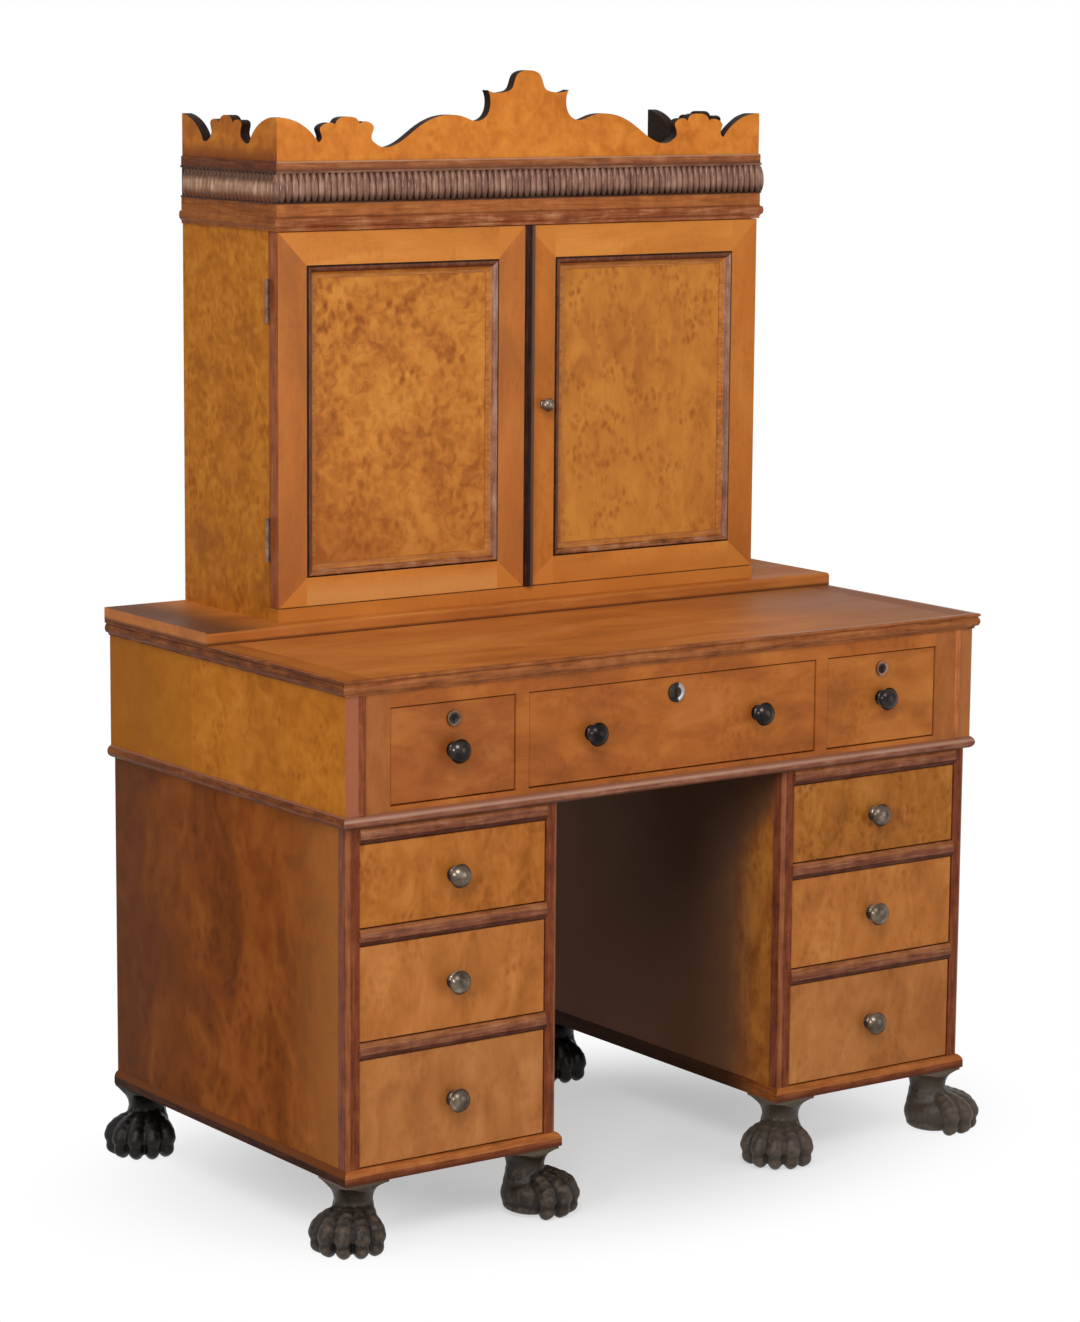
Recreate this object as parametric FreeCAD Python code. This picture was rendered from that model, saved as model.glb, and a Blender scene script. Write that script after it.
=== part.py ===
import FreeCAD, Part
import math
import os
from FreeCAD import Vector

# Pedestal desk with a two-door cabinet on its top. Millimetres, +Z up, the front faces -Y.
# The origin lies on the floor under the middle of the whole piece.

# Paw feet
foot_height = 95.0
foot_inset = 30.0            # neck axis, behind each pedestal face
neck_radius = 26.0
neck_flare = 22.0            # spread of the cavetto under the pedestal
neck_flare_height = 26.0
neck_collar = 4.0            # plain edge above the cavetto
instep_radius = 36.0
instep_offset = 12.0         # in front of the neck axis, as the heel is behind it
instep_height = 28.0
heel_radius = 27.0
heel_offset = 11.0
toe_radius = 17.5
toe_ring_radius = 40.0
toe_ring_offset = 20.0       # ring centre, in front of the neck axis
toe_knuckle_height = 34.0
toe_angles = (-64.0, -32.0, 0.0, 32.0, 64.0)
toe_knuckle_share = 0.72     # of the way from the neck to the toe
sole_depth = 1.5             # how far each round is cut flat by the floor

# Pedestals
pedestal_width = 339.0
pedestal_inset = 4.0         # behind the faces of the frieze
pedestal_base = 19.0
base_moulding_reach = 6.0
post_size = 20.0
post_round = 7.0
pedestal_side = 18.0
pedestal_back = 9.0
pedestal_cap = 12.0
bottom_opening = 148.0
middle_opening = 131.0
upper_opening = 114.0
drawer_rail = 22.0
drawer_rail_depth = 60.0
rail_bulge = 4.0

# Frieze
frieze_width = 1074.0
frieze_depth = 616.0
frieze_floor = 17.0
frieze_bead_reach = 6.0
frieze_height = 158.0
frieze_end = 18.0
frieze_back = 15.0
frieze_low_rail = 7.0
frieze_high_rail = 20.0
frieze_rail_depth = 40.0
stile_width = 69.0
stile_thickness = 20.0
stile_bead_width = 11.0
stile_bead_inset = 20.0
stile_bead_reach = 3.0
end_drawer_opening = 200.0
divider_width = 21.0

# Writing top and platform
top_thickness = 22.0
top_overhang = 8.5
end_cleat = 37.0
platform_thickness = 18.0
platform_setback = 334.0     # behind the face of the frieze
platform_round = 5.0

# Cabinet
cabinet_width = 832.0
cabinet_setback = 360.0      # behind the face of the frieze
cabinet_rear_inset = 4.0
cabinet_floor = 18.0
cabinet_side = 16.0
cabinet_back = 9.0
cabinet_top = 18.0
door_opening_height = 518.0
shelf_thickness = 16.0
shelf_setback = 20.0
shelf_batten = 14.0
shelf_height_share = 0.5     # of the door opening

# Cornice and gallery
cornice_height = 37.0
cornice_reach = 6.0
cornice_board = 20.0
reeded_height = 44.0
reeded_reach = 9.0
gallery_base = 13.0
gallery_base_reach = 2.0
gallery_board = 15.0
gallery_height = 122.0

# Doors
door_thickness = 20.0
door_gap = 1.0
door_stile = 46.0
door_top_rail = 46.0
door_bottom_rail = 40.0
door_round = 1.5
panel_margin = 49.0          # inner edge of each panel, from the middle of the cabinet
panel_thickness = 8.0
panel_recess = 8.0
panel_moulding_width = 18.0
panel_moulding_rise = 1.5    # how far the moulding stands before the frame
meeting_line = -3.5
meeting_bead_width = 16.0
meeting_bead_reach = 6.0

# Door hinges
hinge_length = 60.0
hinge_inset = 95.0           # middle of each hinge from the end of its door
hinge_leaf = 1.5
hinge_leaf_gap = 0.4
hinge_leaf_width = 13.0
hinge_knuckle_radius = 3.0
hinge_pin_radius = 1.5
hinge_clearance = 0.3
pin_play = 0.05

# Door catch
catch_knob_diameter = 20.0
catch_knob_reach = 20.0
catch_inset = 33.0           # spindle from the meeting edge of the right door
catch_spindle_radius = 4.0
catch_gap = 0.5
catch_bar_reach = 46.0
catch_bar_width = 12.0
catch_bar_thickness = 4.0
catch_height_share = 0.505   # of the door opening

# Drawers
drawer_gap = 1.5
drawer_recess = 1.5
running_gap = 0.3
side_play = 1.0
drawer_front = 20.0
drawer_round = 1.5
drawer_side = 9.0
drawer_back = 9.0
drawer_bottom = 6.0
drawer_bottom_raise = 8.0
drawer_side_drop = 9.0       # drawer sides below the top of the front
drawer_back_drop = 6.0       # drawer back below the top of the sides
drawer_rear_space = 12.0     # behind a closed drawer
runner_width = 20.0
runner_thickness = 18.0
stop_length = 30.0
stop_depth = 12.0
stop_height = 5.0
stop_place_shares = (0.22, 0.78)

# Knobs
knob_diameter = 33.0
knob_reach = 28.0
knob_shank_radius = 3.0
centre_knob_share = 0.29     # of the centre drawer's width, each side of its middle

# Drawer locks
lock_width = 50.0
lock_height = 36.0
lock_depth = 11.0
lock_drop = 1.0              # lock top below the top of the drawer front
bolt_width = 22.0
bolt_thickness = 5.0
bolt_length = 22.0
bolt_play = 0.3
bolt_throw = 8.0
mortise_play = 0.7
keyhole_drop = 22.0          # keyhole below the top of the drawer front
keyhole_radius = 3.0
keyhole_depth = 4.0          # into the lock case
escutcheon_diameter = 21.0
centre_escutcheon_diameter = 26.0
escutcheon_thickness = 1.5

overrun = 5.0                # every cut runs past its piece by this

# Profiles in shares of reach and height, from the lower back corner.
# A pair of points is an arc through the first to the second.
half_round_shares = ((0, 0), ((1, 0.5), (0, 1)))
base_moulding_shares = ((0, 0), (1, 0), (1, 0.4), ((0.7, 0.8), (0, 1)))
top_edge_shares = ((0, 0), (0.25, 0), ((0.35, 0.14), (0.7, 0.2)), ((0.97, 0.47), (0.7, 0.74)),
                   (0.7, 0.79), ((1, 0.9), (0.75, 1)), (0, 1))
cornice_shares = ((0, 0), (0.35, 0), ((0.5, 0.14), (0.8, 0.18)), ((1, 0.33), (0.8, 0.47)),
                  (0.35, 0.5), (0.35, 1), (0, 1))
reeded_shares = ((0, 0), (0.45, 0), (0.45, 0.05), ((1, 0.36), (0.5, 0.7)), ((0.42, 0.83), (0.5, 0.93)),
                 (0.5, 1), (0, 1))
# Panel moulding in shares of its width and depth, from the panel's face at the frame.
panel_moulding_shares = ((0, 0), (1, 0), (1, 0.12), ((0.62, 0.3), (0.5, 0.6)), ((0.28, 1), (0, 0.85)))
# Knob in shares of its radius and reach, outwards from the drawer's face to the edge of its dome.
knob_shares = ((0.66, 0), (0.66, 0.1), ((0.46, 0.2), (0.42, 0.36)), ((0.72, 0.44), (1, 0.62)))

# Gallery crest from its end to its middle, in shares of the half length and of the crest's height.
# Each row is one smooth curve, and rows meet at sharp corners.
crest_shares = (
    ((1, 0.485), (0.945, 0.462), (0.89, 0.375), (0.84, 0.205)),
    ((0.84, 0.205), (0.828, 0.28), (0.835, 0.355), (0.812, 0.415), (0.776, 0.402)),
    ((0.776, 0.402), (0.765, 0.46), (0.728, 0.488), (0.69, 0.46), (0.68, 0.402)),
    ((0.68, 0.402), (0.646, 0.428), (0.625, 0.37), (0.632, 0.29), (0.618, 0.19)),
    ((0.618, 0.19), (0.582, 0.142), (0.53, 0.185), (0.45, 0.36), (0.39, 0.46), (0.32, 0.5),
     (0.26, 0.47), (0.214, 0.425), (0.174, 0.48), (0.158, 0.6), (0.168, 0.775)),
    ((0.168, 0.775), (0.14, 0.745), (0.104, 0.75), (0.07, 0.79), (0.058, 0.88), (0.046, 0.955),
     (0.025, 0.99), (0, 1)),
)
# The end galleries carry the same scallops, with one cartouche at their middle.
end_crest_shares = (
    ((1, 0.485), (0.86, 0.455), (0.64, 0.34), (0.52, 0.19)),
    ((0.52, 0.19), (0.4, 0.2), (0.325, 0.3), (0.35, 0.4), (0.24, 0.44), (0.16, 0.402)),
    ((0.16, 0.402), (0.11, 0.462), (0, 0.488)),
)

# Levels
base_level = foot_height
bottom_level = base_level + pedestal_base
middle_level = bottom_level + bottom_opening + drawer_rail
upper_level = middle_level + middle_opening + drawer_rail
pedestal_top = upper_level + upper_opening + drawer_rail
frieze_level = pedestal_top + frieze_floor
frieze_top = frieze_level + frieze_height
writing_level = frieze_top + top_thickness
platform_level = writing_level + platform_thickness
door_level = platform_level + cabinet_floor
door_head = door_level + door_opening_height
reeded_level = door_head + cornice_height
gallery_base_level = reeded_level + reeded_height
gallery_level = gallery_base_level + gallery_base
frieze_opening_level = frieze_level + frieze_low_rail
frieze_opening_top = frieze_top - frieze_high_rail
pedestal_openings = (("bottom", bottom_level, bottom_opening), ("middle", middle_level, middle_opening),
                     ("top", upper_level, upper_opening))

# Places in plan
half_frieze = frieze_width / 2
outer_face = half_frieze - pedestal_inset
inner_face = outer_face - pedestal_width
corner_turn = math.radians(45)
paw_reach = toe_radius + max(toe_ring_offset * math.cos(corner_turn)
                             + toe_ring_radius * math.cos(math.radians(angle) - corner_turn)
                             for angle in toe_angles)
paw_overreach = paw_reach - foot_inset - pedestal_inset
front_reach = max(knob_reach - drawer_recess, paw_overreach)
rear_reach = 0               # the rear paws point forwards too
frieze_front = (front_reach - rear_reach - frieze_depth) / 2
frieze_rear = frieze_front + frieze_depth
pedestal_front = frieze_front + pedestal_inset
pedestal_rear = frieze_rear - pedestal_inset
half_top = half_frieze + top_overhang
end_opening_outer = half_frieze - stile_width
end_opening_inner = end_opening_outer - end_drawer_opening
half_centre_opening = end_opening_inner - divider_width
half_cabinet = cabinet_width / 2
cabinet_front = frieze_front + cabinet_setback
cabinet_rear = frieze_rear - cabinet_rear_inset
door_back = cabinet_front + door_thickness
door_joint = 2 * hinge_leaf + hinge_leaf_gap
carcase_front = door_back + door_joint
hinge_y = door_back + door_joint / 2
hinge_x = half_cabinet + hinge_knuckle_radius + hinge_clearance
catch_x = meeting_line + door_gap / 2 + catch_inset
catch_z = door_level + catch_height_share * door_opening_height


def board(x0, x1, y0, y1, z0, z1):
    """A square-edged board between two opposite corners."""
    return Part.makeBox(x1 - x0, y1 - y0, z1 - z0, Vector(x0, y0, z0))


def ease_front(piece, face, radius, kept=()):
    """A board with the edges of its front face rounded, apart from those that lie on a kept place."""
    front = [e for e in piece.Edges
             if all(abs(v.Y - face) < pin_play for v in e.Vertexes)
             and not any(all(abs(getattr(v, axis) - at) < pin_play for v in e.Vertexes)
                         for axis, at in kept)]
    return piece.makeFillet(radius, front)


def both_sides(x0, x1, y0, y1, z0, z1):
    """The same board at the left and at the right of the middle."""
    return [board(-x1, -x0, y0, y1, z0, z1), board(x0, x1, y0, y1, z0, z1)]


def profile_wire(steps, place, closed=True):
    """Edges through points of a profile, where a pair of points is an arc, set in space by place."""
    edges = []
    at = steps[0]
    for step in steps[1:] + (steps[:1] if closed else ()):
        if isinstance(step[0], tuple):
            middle, end = step
            edges.append(Part.Arc(place(*at), place(*middle), place(*end)).toShape())
        else:
            end = step
            edges.append(Part.LineSegment(place(*at), place(*end)).toShape())
        at = end
    return Part.Wire(edges)


def prism(points, z0, z1):
    """A straight block on a plan of corner points."""
    corners = [Vector(x, y, z0) for x, y in points]
    return Part.Face(Part.makePolygon(corners + corners[:1])).extrude(Vector(0, 0, z1 - z0))


def wrapped_moulding(shares, reach, height, level, low, high, front, rear):
    """A moulding round a front and two ends, in three lengths mitred at the corners."""
    width = Vector(high - low + 2 * reach, 0, 0)
    depth = Vector(0, rear - front + reach, 0)
    west = low - reach
    east = high + reach
    south = front - reach
    plans = [
        (west, 0, front, -reach, width, ((west, south), (east, south), (high, front), (low, front))),
        (low, -reach, south, 0, depth, ((west, south), (low, front), (low, rear), (west, rear))),
        (high, reach, south, 0, depth, ((east, south), (high, front), (high, rear), (east, rear))),
    ]
    strips = []
    for x, x_reach, y, y_reach, run, plan in plans:
        wire = profile_wire(shares, lambda o, h: Vector(x + o * x_reach, y + o * y_reach,
                                                        level + h * height))
        strip = Part.Face(wire).extrude(run)
        strips.append(strip.common(prism(plan, level - overrun, level + height + overrun)).Solids[0])
    return strips


def turned_knob(radius, reach, x, face, z, shank_radius, shank_length):
    """A turned knob on a face that looks towards -Y, with its shank going back into the face."""
    steps = [(0, -shank_length), (shank_radius, -shank_length), (shank_radius, 0)]
    for step in knob_shares:
        if isinstance(step[0], tuple):
            steps.append(tuple((r * radius, d * reach) for r, d in step))
        else:
            steps.append((step[0] * radius, step[1] * reach))
    edge = steps[-1][1][1]
    rise = reach - edge
    dome_radius = (radius * radius + rise * rise) / (2 * rise)
    dome_centre = reach - dome_radius
    half_turn = math.atan2(radius, edge - dome_centre) / 2
    crown = (dome_radius * math.sin(half_turn), dome_centre + dome_radius * math.cos(half_turn))
    steps.append((crown, (0, reach)))
    wire = profile_wire(tuple(steps), lambda r, d: Vector(x + r, face - d, z))
    return Part.Face(wire).revolve(Vector(x, face, z), Vector(0, 1, 0), 360)


def bore(radius, x, y, z, depth):
    """A round cutter that runs back from a face."""
    return Part.makeCylinder(radius, depth, Vector(x, y, z), Vector(0, 1, 0))


def capsule(start, end, radius):
    """A round bar with round ends."""
    length = (end - start).Length
    bend = radius * math.cos(corner_turn)
    steps = ((0, -radius), ((bend, -bend), (radius, 0)), (radius, length),
             ((bend, length + bend), (0, length + radius)))
    wire = profile_wire(steps, lambda r, h: Vector(r, 0, h))
    bar = Part.Face(wire).revolve(Vector(0, 0, 0), Vector(0, 0, 1), 360)
    bar.Placement = FreeCAD.Placement(start, FreeCAD.Rotation(Vector(0, 0, 1), end - start))
    return bar


def paw_foot(corner_angle):
    """One carved paw, toes towards +X, its neck on the Z axis and its sole on the floor.

    The neck spreads under the pedestal, trimmed to the corner that lies at corner_angle from the toes.
    """
    edge = foot_height - neck_collar
    shoulder = edge - neck_flare_height
    bend = neck_radius + neck_flare * (1 - math.cos(corner_turn))
    bend_height = shoulder + neck_flare_height * math.sin(corner_turn)
    rim = neck_radius + neck_flare
    neck_steps = ((0, instep_height), (neck_radius, instep_height), (neck_radius, shoulder),
                  ((bend, bend_height), (rim, edge)), (rim, foot_height), (0, foot_height))
    neck_face = Part.Face(profile_wire(neck_steps, lambda r, h: Vector(r, 0, h)))
    neck = neck_face.revolve(Vector(0, 0, 0), Vector(0, 0, 1), 360)
    trim = foot_inset + base_moulding_reach / 2
    corner = board(-foot_height, trim, -foot_height, trim, 0, foot_height)
    corner.rotate(Vector(0, 0, 0), Vector(0, 0, 1), corner_angle - math.degrees(corner_turn))
    neck = neck.common(corner)
    instep = Part.makeSphere(instep_radius, Vector(instep_offset, 0, instep_height))
    heel = Part.makeSphere(heel_radius, Vector(-heel_offset, 0, heel_radius - sole_depth))
    toes = []
    for angle in toe_angles:
        turn = math.radians(angle)
        reach_x = toe_ring_offset + toe_ring_radius * math.cos(turn)
        reach_y = toe_ring_radius * math.sin(turn)
        knuckle = Vector(toe_knuckle_share * reach_x, toe_knuckle_share * reach_y, toe_knuckle_height)
        toes.append(capsule(knuckle, Vector(reach_x, reach_y, toe_radius - sole_depth), toe_radius))
    paw = neck.multiFuse([instep, heel] + toes)
    span = 2 * (toe_ring_offset + toe_ring_radius + toe_radius + heel_radius + heel_offset)
    under = board(-span, span, -span, span, -foot_height, 0)
    return paw.cut(under).removeSplitter().Solids[0]


def place_feet():
    """A foot at each corner of each pedestal, all with their toes forwards and outwards."""
    feet = []
    for side in (-1, 1):
        for x_corner, x_way in ((side * outer_face, side), (side * inner_face, -side)):
            toes = math.atan2(-1, x_way)
            for y_corner, y_way in ((pedestal_front, -1), (pedestal_rear, 1)):
                foot = paw_foot(math.degrees(math.atan2(y_way, x_way) - toes))
                foot.rotate(Vector(0, 0, 0), Vector(0, 0, 1), math.degrees(toes))
                foot.translate(Vector(x_corner - x_way * foot_inset, y_corner - y_way * foot_inset, 0))
                feet.append(foot)
    return feet


def post(x_corner, way):
    """A front corner post of a pedestal with a rounded outer edge."""
    bend = post_round * (1 - math.cos(corner_turn))
    steps = ((post_round, 0), (post_size, 0), (post_size, post_size), (0, post_size), (0, post_round),
             ((bend, bend), (post_round, 0)))
    wire = profile_wire(steps, lambda x, y: Vector(x_corner + way * x, pedestal_front + y, bottom_level),
                        closed=False)
    return Part.Face(wire).extrude(Vector(0, 0, pedestal_top - bottom_level))


def pedestal(low, high):
    """Base, posts, carcase, rails and runners of one pedestal between two faces."""
    rear_board = pedestal_rear - pedestal_back
    inside_low = low + pedestal_side
    inside_high = high - pedestal_side
    base = [board(low, high, pedestal_front, pedestal_rear, base_level, bottom_level)]
    base += wrapped_moulding(base_moulding_shares, base_moulding_reach, pedestal_base, base_level,
                             low, high, pedestal_front, pedestal_rear)
    posts = [post(low, 1), post(high, -1)]
    side_front = pedestal_front + post_size
    rails_back = pedestal_front + drawer_rail_depth
    carcase = [
        board(low, inside_low, side_front, pedestal_rear, bottom_level, pedestal_top),
        board(inside_high, high, side_front, pedestal_rear, bottom_level, pedestal_top),
        board(inside_low, inside_high, rear_board, pedestal_rear, bottom_level, pedestal_top),
        board(inside_low, inside_high, rails_back, rear_board, pedestal_top - pedestal_cap, pedestal_top),
    ]
    rails = []
    runners = []
    for name, level, height in pedestal_openings:
        rail_level = level + height
        steps = ((-drawer_rail_depth, 0), (0, 0), ((rail_bulge, drawer_rail / 2), (0, drawer_rail)),
                 (-drawer_rail_depth, drawer_rail))
        wire = profile_wire(steps, lambda o, h: Vector(low + post_size, pedestal_front - o, rail_level + h))
        rails.append(Part.Face(wire).extrude(Vector(high - low - 2 * post_size, 0, 0)))
        if level > bottom_level:
            for x in (inside_low, inside_high - runner_width):
                runners.append(board(x, x + runner_width, rails_back, rear_board,
                                     level - runner_thickness, level))
    return base, posts, carcase, rails, runners


def frieze():
    """Carcase, bead, face frame and runners of the part between the pedestals and the top."""
    half = half_frieze
    rear_board = frieze_rear - frieze_back
    rails_back = frieze_front + frieze_rail_depth
    stile_back = frieze_front + stile_thickness
    carcase = [board(-half, half, frieze_front, frieze_rear, pedestal_top, frieze_level)]
    carcase += both_sides(half - frieze_end, half, stile_back, frieze_rear, frieze_level, frieze_top)
    carcase.append(board(frieze_end - half, half - frieze_end, rear_board, frieze_rear,
                         frieze_level, frieze_top))
    carcase += both_sides(half_centre_opening, end_opening_inner, rails_back, rear_board,
                          frieze_level, frieze_top)
    carcase += both_sides(end_opening_outer, end_opening_outer + divider_width, stile_back, rear_board,
                          frieze_level, frieze_top)
    bead = wrapped_moulding(half_round_shares, frieze_bead_reach, frieze_floor, pedestal_top,
                            -half, half, frieze_front, frieze_rear)
    face = both_sides(end_opening_outer, half, frieze_front, stile_back, frieze_level, frieze_top)
    face += both_sides(half_centre_opening, end_opening_inner, frieze_front, rails_back,
                       frieze_opening_level, frieze_opening_top)
    face.append(board(-end_opening_outer, end_opening_outer, frieze_front, rails_back,
                      frieze_level, frieze_opening_level))
    high_rail = board(-end_opening_outer, end_opening_outer, frieze_front, rails_back,
                      frieze_opening_top, frieze_top)
    for name, x0, x1 in frieze_openings:
        high_rail = high_rail.cut(bolt_mortise((x0 + x1) / 2))
    face.append(high_rail)
    for way in (-1, 1):
        edge = way * (half - stile_bead_inset)
        wire = profile_wire(half_round_shares, lambda o, w: Vector(
            edge - way * w * stile_bead_width, frieze_front - o * stile_bead_reach, frieze_level))
        face.append(Part.Face(wire).extrude(Vector(0, 0, frieze_height)))
    runners = []
    for name, x0, x1 in frieze_openings:
        for x in (x0, x1 - runner_width):
            runners.append(board(x, x + runner_width, rails_back, rear_board,
                                 frieze_level, frieze_opening_level))
    return carcase, bead, face, runners


frieze_openings = (("left", -end_opening_outer, -end_opening_inner),
                   ("centre", -half_centre_opening, half_centre_opening),
                   ("right", end_opening_inner, end_opening_outer))


def bolt_place(x):
    """Low corner of a drawer bolt at rest, and the middle of its travel in plan."""
    lock_face = frieze_front + drawer_recess + drawer_front
    top = frieze_opening_top - drawer_gap - lock_drop
    return Vector(x - bolt_width / 2, lock_face + (lock_depth - bolt_thickness) / 2, top - bolt_length)


def bolt_mortise(x):
    """The cutter for the pocket over a drawer that its bolt shoots into."""
    low = bolt_place(x)
    depth = low.z + bolt_length + bolt_throw + mortise_play
    return board(low.x - mortise_play, low.x + bolt_width + mortise_play, low.y - mortise_play,
                 low.y + bolt_thickness + mortise_play, frieze_opening_top - overrun, depth)


def drawer(low, high, level, top, face_plane, rear_plane):
    """Front and box of one drawer in an opening, and the stops that it closes against."""
    x0 = low + side_play
    x1 = high - side_play
    face = face_plane + drawer_recess
    front_back = face + drawer_front
    rear = rear_plane - drawer_rear_space
    front_top = top - drawer_gap
    side_low = level + running_gap
    side_top = front_top - drawer_side_drop
    floor = side_low + drawer_bottom_raise
    front = ease_front(board(x0, x1, face, front_back, level + drawer_gap, front_top), face, drawer_round)
    box = [
        board(x0, x0 + drawer_side, front_back, rear, side_low, side_top),
        board(x1 - drawer_side, x1, front_back, rear, side_low, side_top),
        board(x0 + drawer_side, x1 - drawer_side, rear - drawer_back, rear, floor + drawer_bottom,
              side_top - drawer_back_drop),
        board(x0 + drawer_side, x1 - drawer_side, front_back, rear, floor, floor + drawer_bottom),
    ]
    stop_front = front_back + running_gap
    stops = []
    for share in stop_place_shares:
        middle = low + share * (high - low)
        stops.append(board(middle - stop_length / 2, middle + stop_length / 2, stop_front,
                           stop_front + stop_depth, level, level + stop_height))
    return front, box, stops


def drawer_knob(x, z, face_plane):
    """A knob on a drawer front, and the hole that its shank takes."""
    face = face_plane + drawer_recess
    knob = turned_knob(knob_diameter / 2, knob_reach, x, face, z, knob_shank_radius, drawer_front)
    return knob, bore(knob_shank_radius + pin_play, x, face, z, drawer_front)


def drawer_lock(x, escutcheon_width):
    """Lock case with its escutcheon, the bolt, and the keyhole through the drawer front."""
    face = frieze_front + drawer_recess
    case_front = face + drawer_front
    front_top = frieze_opening_top - drawer_gap
    case_top = front_top - lock_drop
    keyhole_z = front_top - keyhole_drop
    low = bolt_place(x)
    bolt = board(low.x, low.x + bolt_width, low.y, low.y + bolt_thickness, low.z, low.z + bolt_length)
    channel = board(low.x - bolt_play, low.x + bolt_width + bolt_play, low.y - bolt_play,
                    low.y + bolt_thickness + bolt_play, low.z - bolt_play, case_top + overrun)
    case = board(x - lock_width / 2, x + lock_width / 2, case_front, case_front + lock_depth,
                 case_top - lock_height, case_top)
    key_way = bore(keyhole_radius, x, case_front - overrun, keyhole_z, overrun + keyhole_depth)
    case = case.cut(channel).cut(key_way)
    plate = bore(escutcheon_width / 2, x, face - escutcheon_thickness, keyhole_z, escutcheon_thickness)
    plate = plate.cut(bore(keyhole_radius, x, face - overrun, keyhole_z, 2 * overrun))
    return [case, plate], bolt, bore(keyhole_radius, x, face, keyhole_z, drawer_front)


def writing_top():
    """Top boards with an end cleat each side, their edge moulding, and the platform for the cabinet."""
    inner = half_frieze - end_cleat
    boards = [board(-inner, inner, frieze_front, frieze_rear, frieze_top, writing_level)]
    boards += both_sides(inner, half_frieze, frieze_front, frieze_rear, frieze_top, writing_level)
    edge = wrapped_moulding(top_edge_shares, top_overhang, top_thickness, frieze_top,
                            -half_frieze, half_frieze, frieze_front, frieze_rear)
    front = frieze_front + platform_setback
    platform = board(-half_top, half_top, front, frieze_rear, writing_level, platform_level)
    nosing = [e for e in platform.Edges
              if all(abs(v.Y - front) < platform_round and v.Z > writing_level for v in e.Vertexes)]
    return boards, edge, platform.makeFillet(platform_round, nosing)


def cabinet():
    """Carcase with its back, and one shelf on battens."""
    inside = half_cabinet - cabinet_side
    back_front = cabinet_rear - cabinet_back
    carcase = [
        board(-half_cabinet, half_cabinet, cabinet_front, cabinet_rear, platform_level, door_level),
        board(-half_cabinet, half_cabinet, cabinet_front, cabinet_rear, door_head, door_head + cabinet_top),
        board(-inside, inside, back_front, cabinet_rear, door_level, door_head),
    ]
    carcase += both_sides(inside, half_cabinet, carcase_front, cabinet_rear, door_level, door_head)
    shelf_top = door_level + shelf_height_share * door_opening_height
    shelf_level = shelf_top - shelf_thickness
    shelf_front = carcase_front + shelf_setback
    carcase.append(board(-inside, inside, shelf_front, back_front, shelf_level, shelf_top))
    carcase += both_sides(inside - shelf_batten, inside, shelf_front, back_front,
                          shelf_level - shelf_batten, shelf_level)
    return carcase


def cornice():
    """Frame over the cabinet with its cornice moulding and the reeded moulding above."""
    low = door_head + cabinet_top
    high = gallery_base_level
    inside = half_cabinet - cornice_board
    frame = both_sides(inside, half_cabinet, cabinet_front, cabinet_rear, low, high)
    frame.append(board(-inside, inside, cabinet_front, cabinet_front + cornice_board, low, high))
    frame.append(board(-inside, inside, cabinet_rear - cornice_board, cabinet_rear, low, high))
    moulding = wrapped_moulding(cornice_shares, cornice_reach, cornice_height, door_head,
                                -half_cabinet, half_cabinet, cabinet_front, cabinet_rear)
    reeded = wrapped_moulding(reeded_shares, reeded_reach, reeded_height, reeded_level,
                              -half_cabinet, half_cabinet, cabinet_front, cabinet_rear)
    return frame + moulding, reeded


def crest_board(rows, half_length, place, thickness):
    """A gallery board cut to a crest that is the same each side of its middle."""
    edges = []
    for way in (1, -1):
        for row in rows:
            curve = Part.BSplineCurve()
            curve.interpolate([place(way * s * half_length, h * gallery_height) for s, h in row])
            edges.append(curve.toShape())
    ends = [place(half_length, 0), place(-half_length, 0)]
    for end, way in zip(ends, (1, -1)):
        start, height = rows[0][0]
        edges.append(Part.LineSegment(end, place(way * half_length, height * gallery_height)).toShape())
    edges.append(Part.LineSegment(*ends).toShape())
    return Part.Face(Part.Wire(Part.__sortEdges__(edges))).extrude(thickness)


def gallery():
    """Base board, shaped front and shaped ends."""
    base = board(-half_cabinet - gallery_base_reach, half_cabinet + gallery_base_reach,
                 cabinet_front - gallery_base_reach, cabinet_rear, gallery_base_level, gallery_level)
    front = crest_board(crest_shares, half_cabinet,
                        lambda s, h: Vector(s, cabinet_front, gallery_level + h),
                        Vector(0, gallery_board, 0))
    ends_front = cabinet_front + gallery_board
    middle = (ends_front + cabinet_rear) / 2
    half_end = (cabinet_rear - ends_front) / 2
    boards = [base, front]
    for x in (-half_cabinet, half_cabinet - gallery_board):
        boards.append(crest_board(end_crest_shares, half_end,
                                  lambda s, h: Vector(x, middle + s, gallery_level + h),
                                  Vector(gallery_board, 0, 0)))
    return boards


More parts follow.
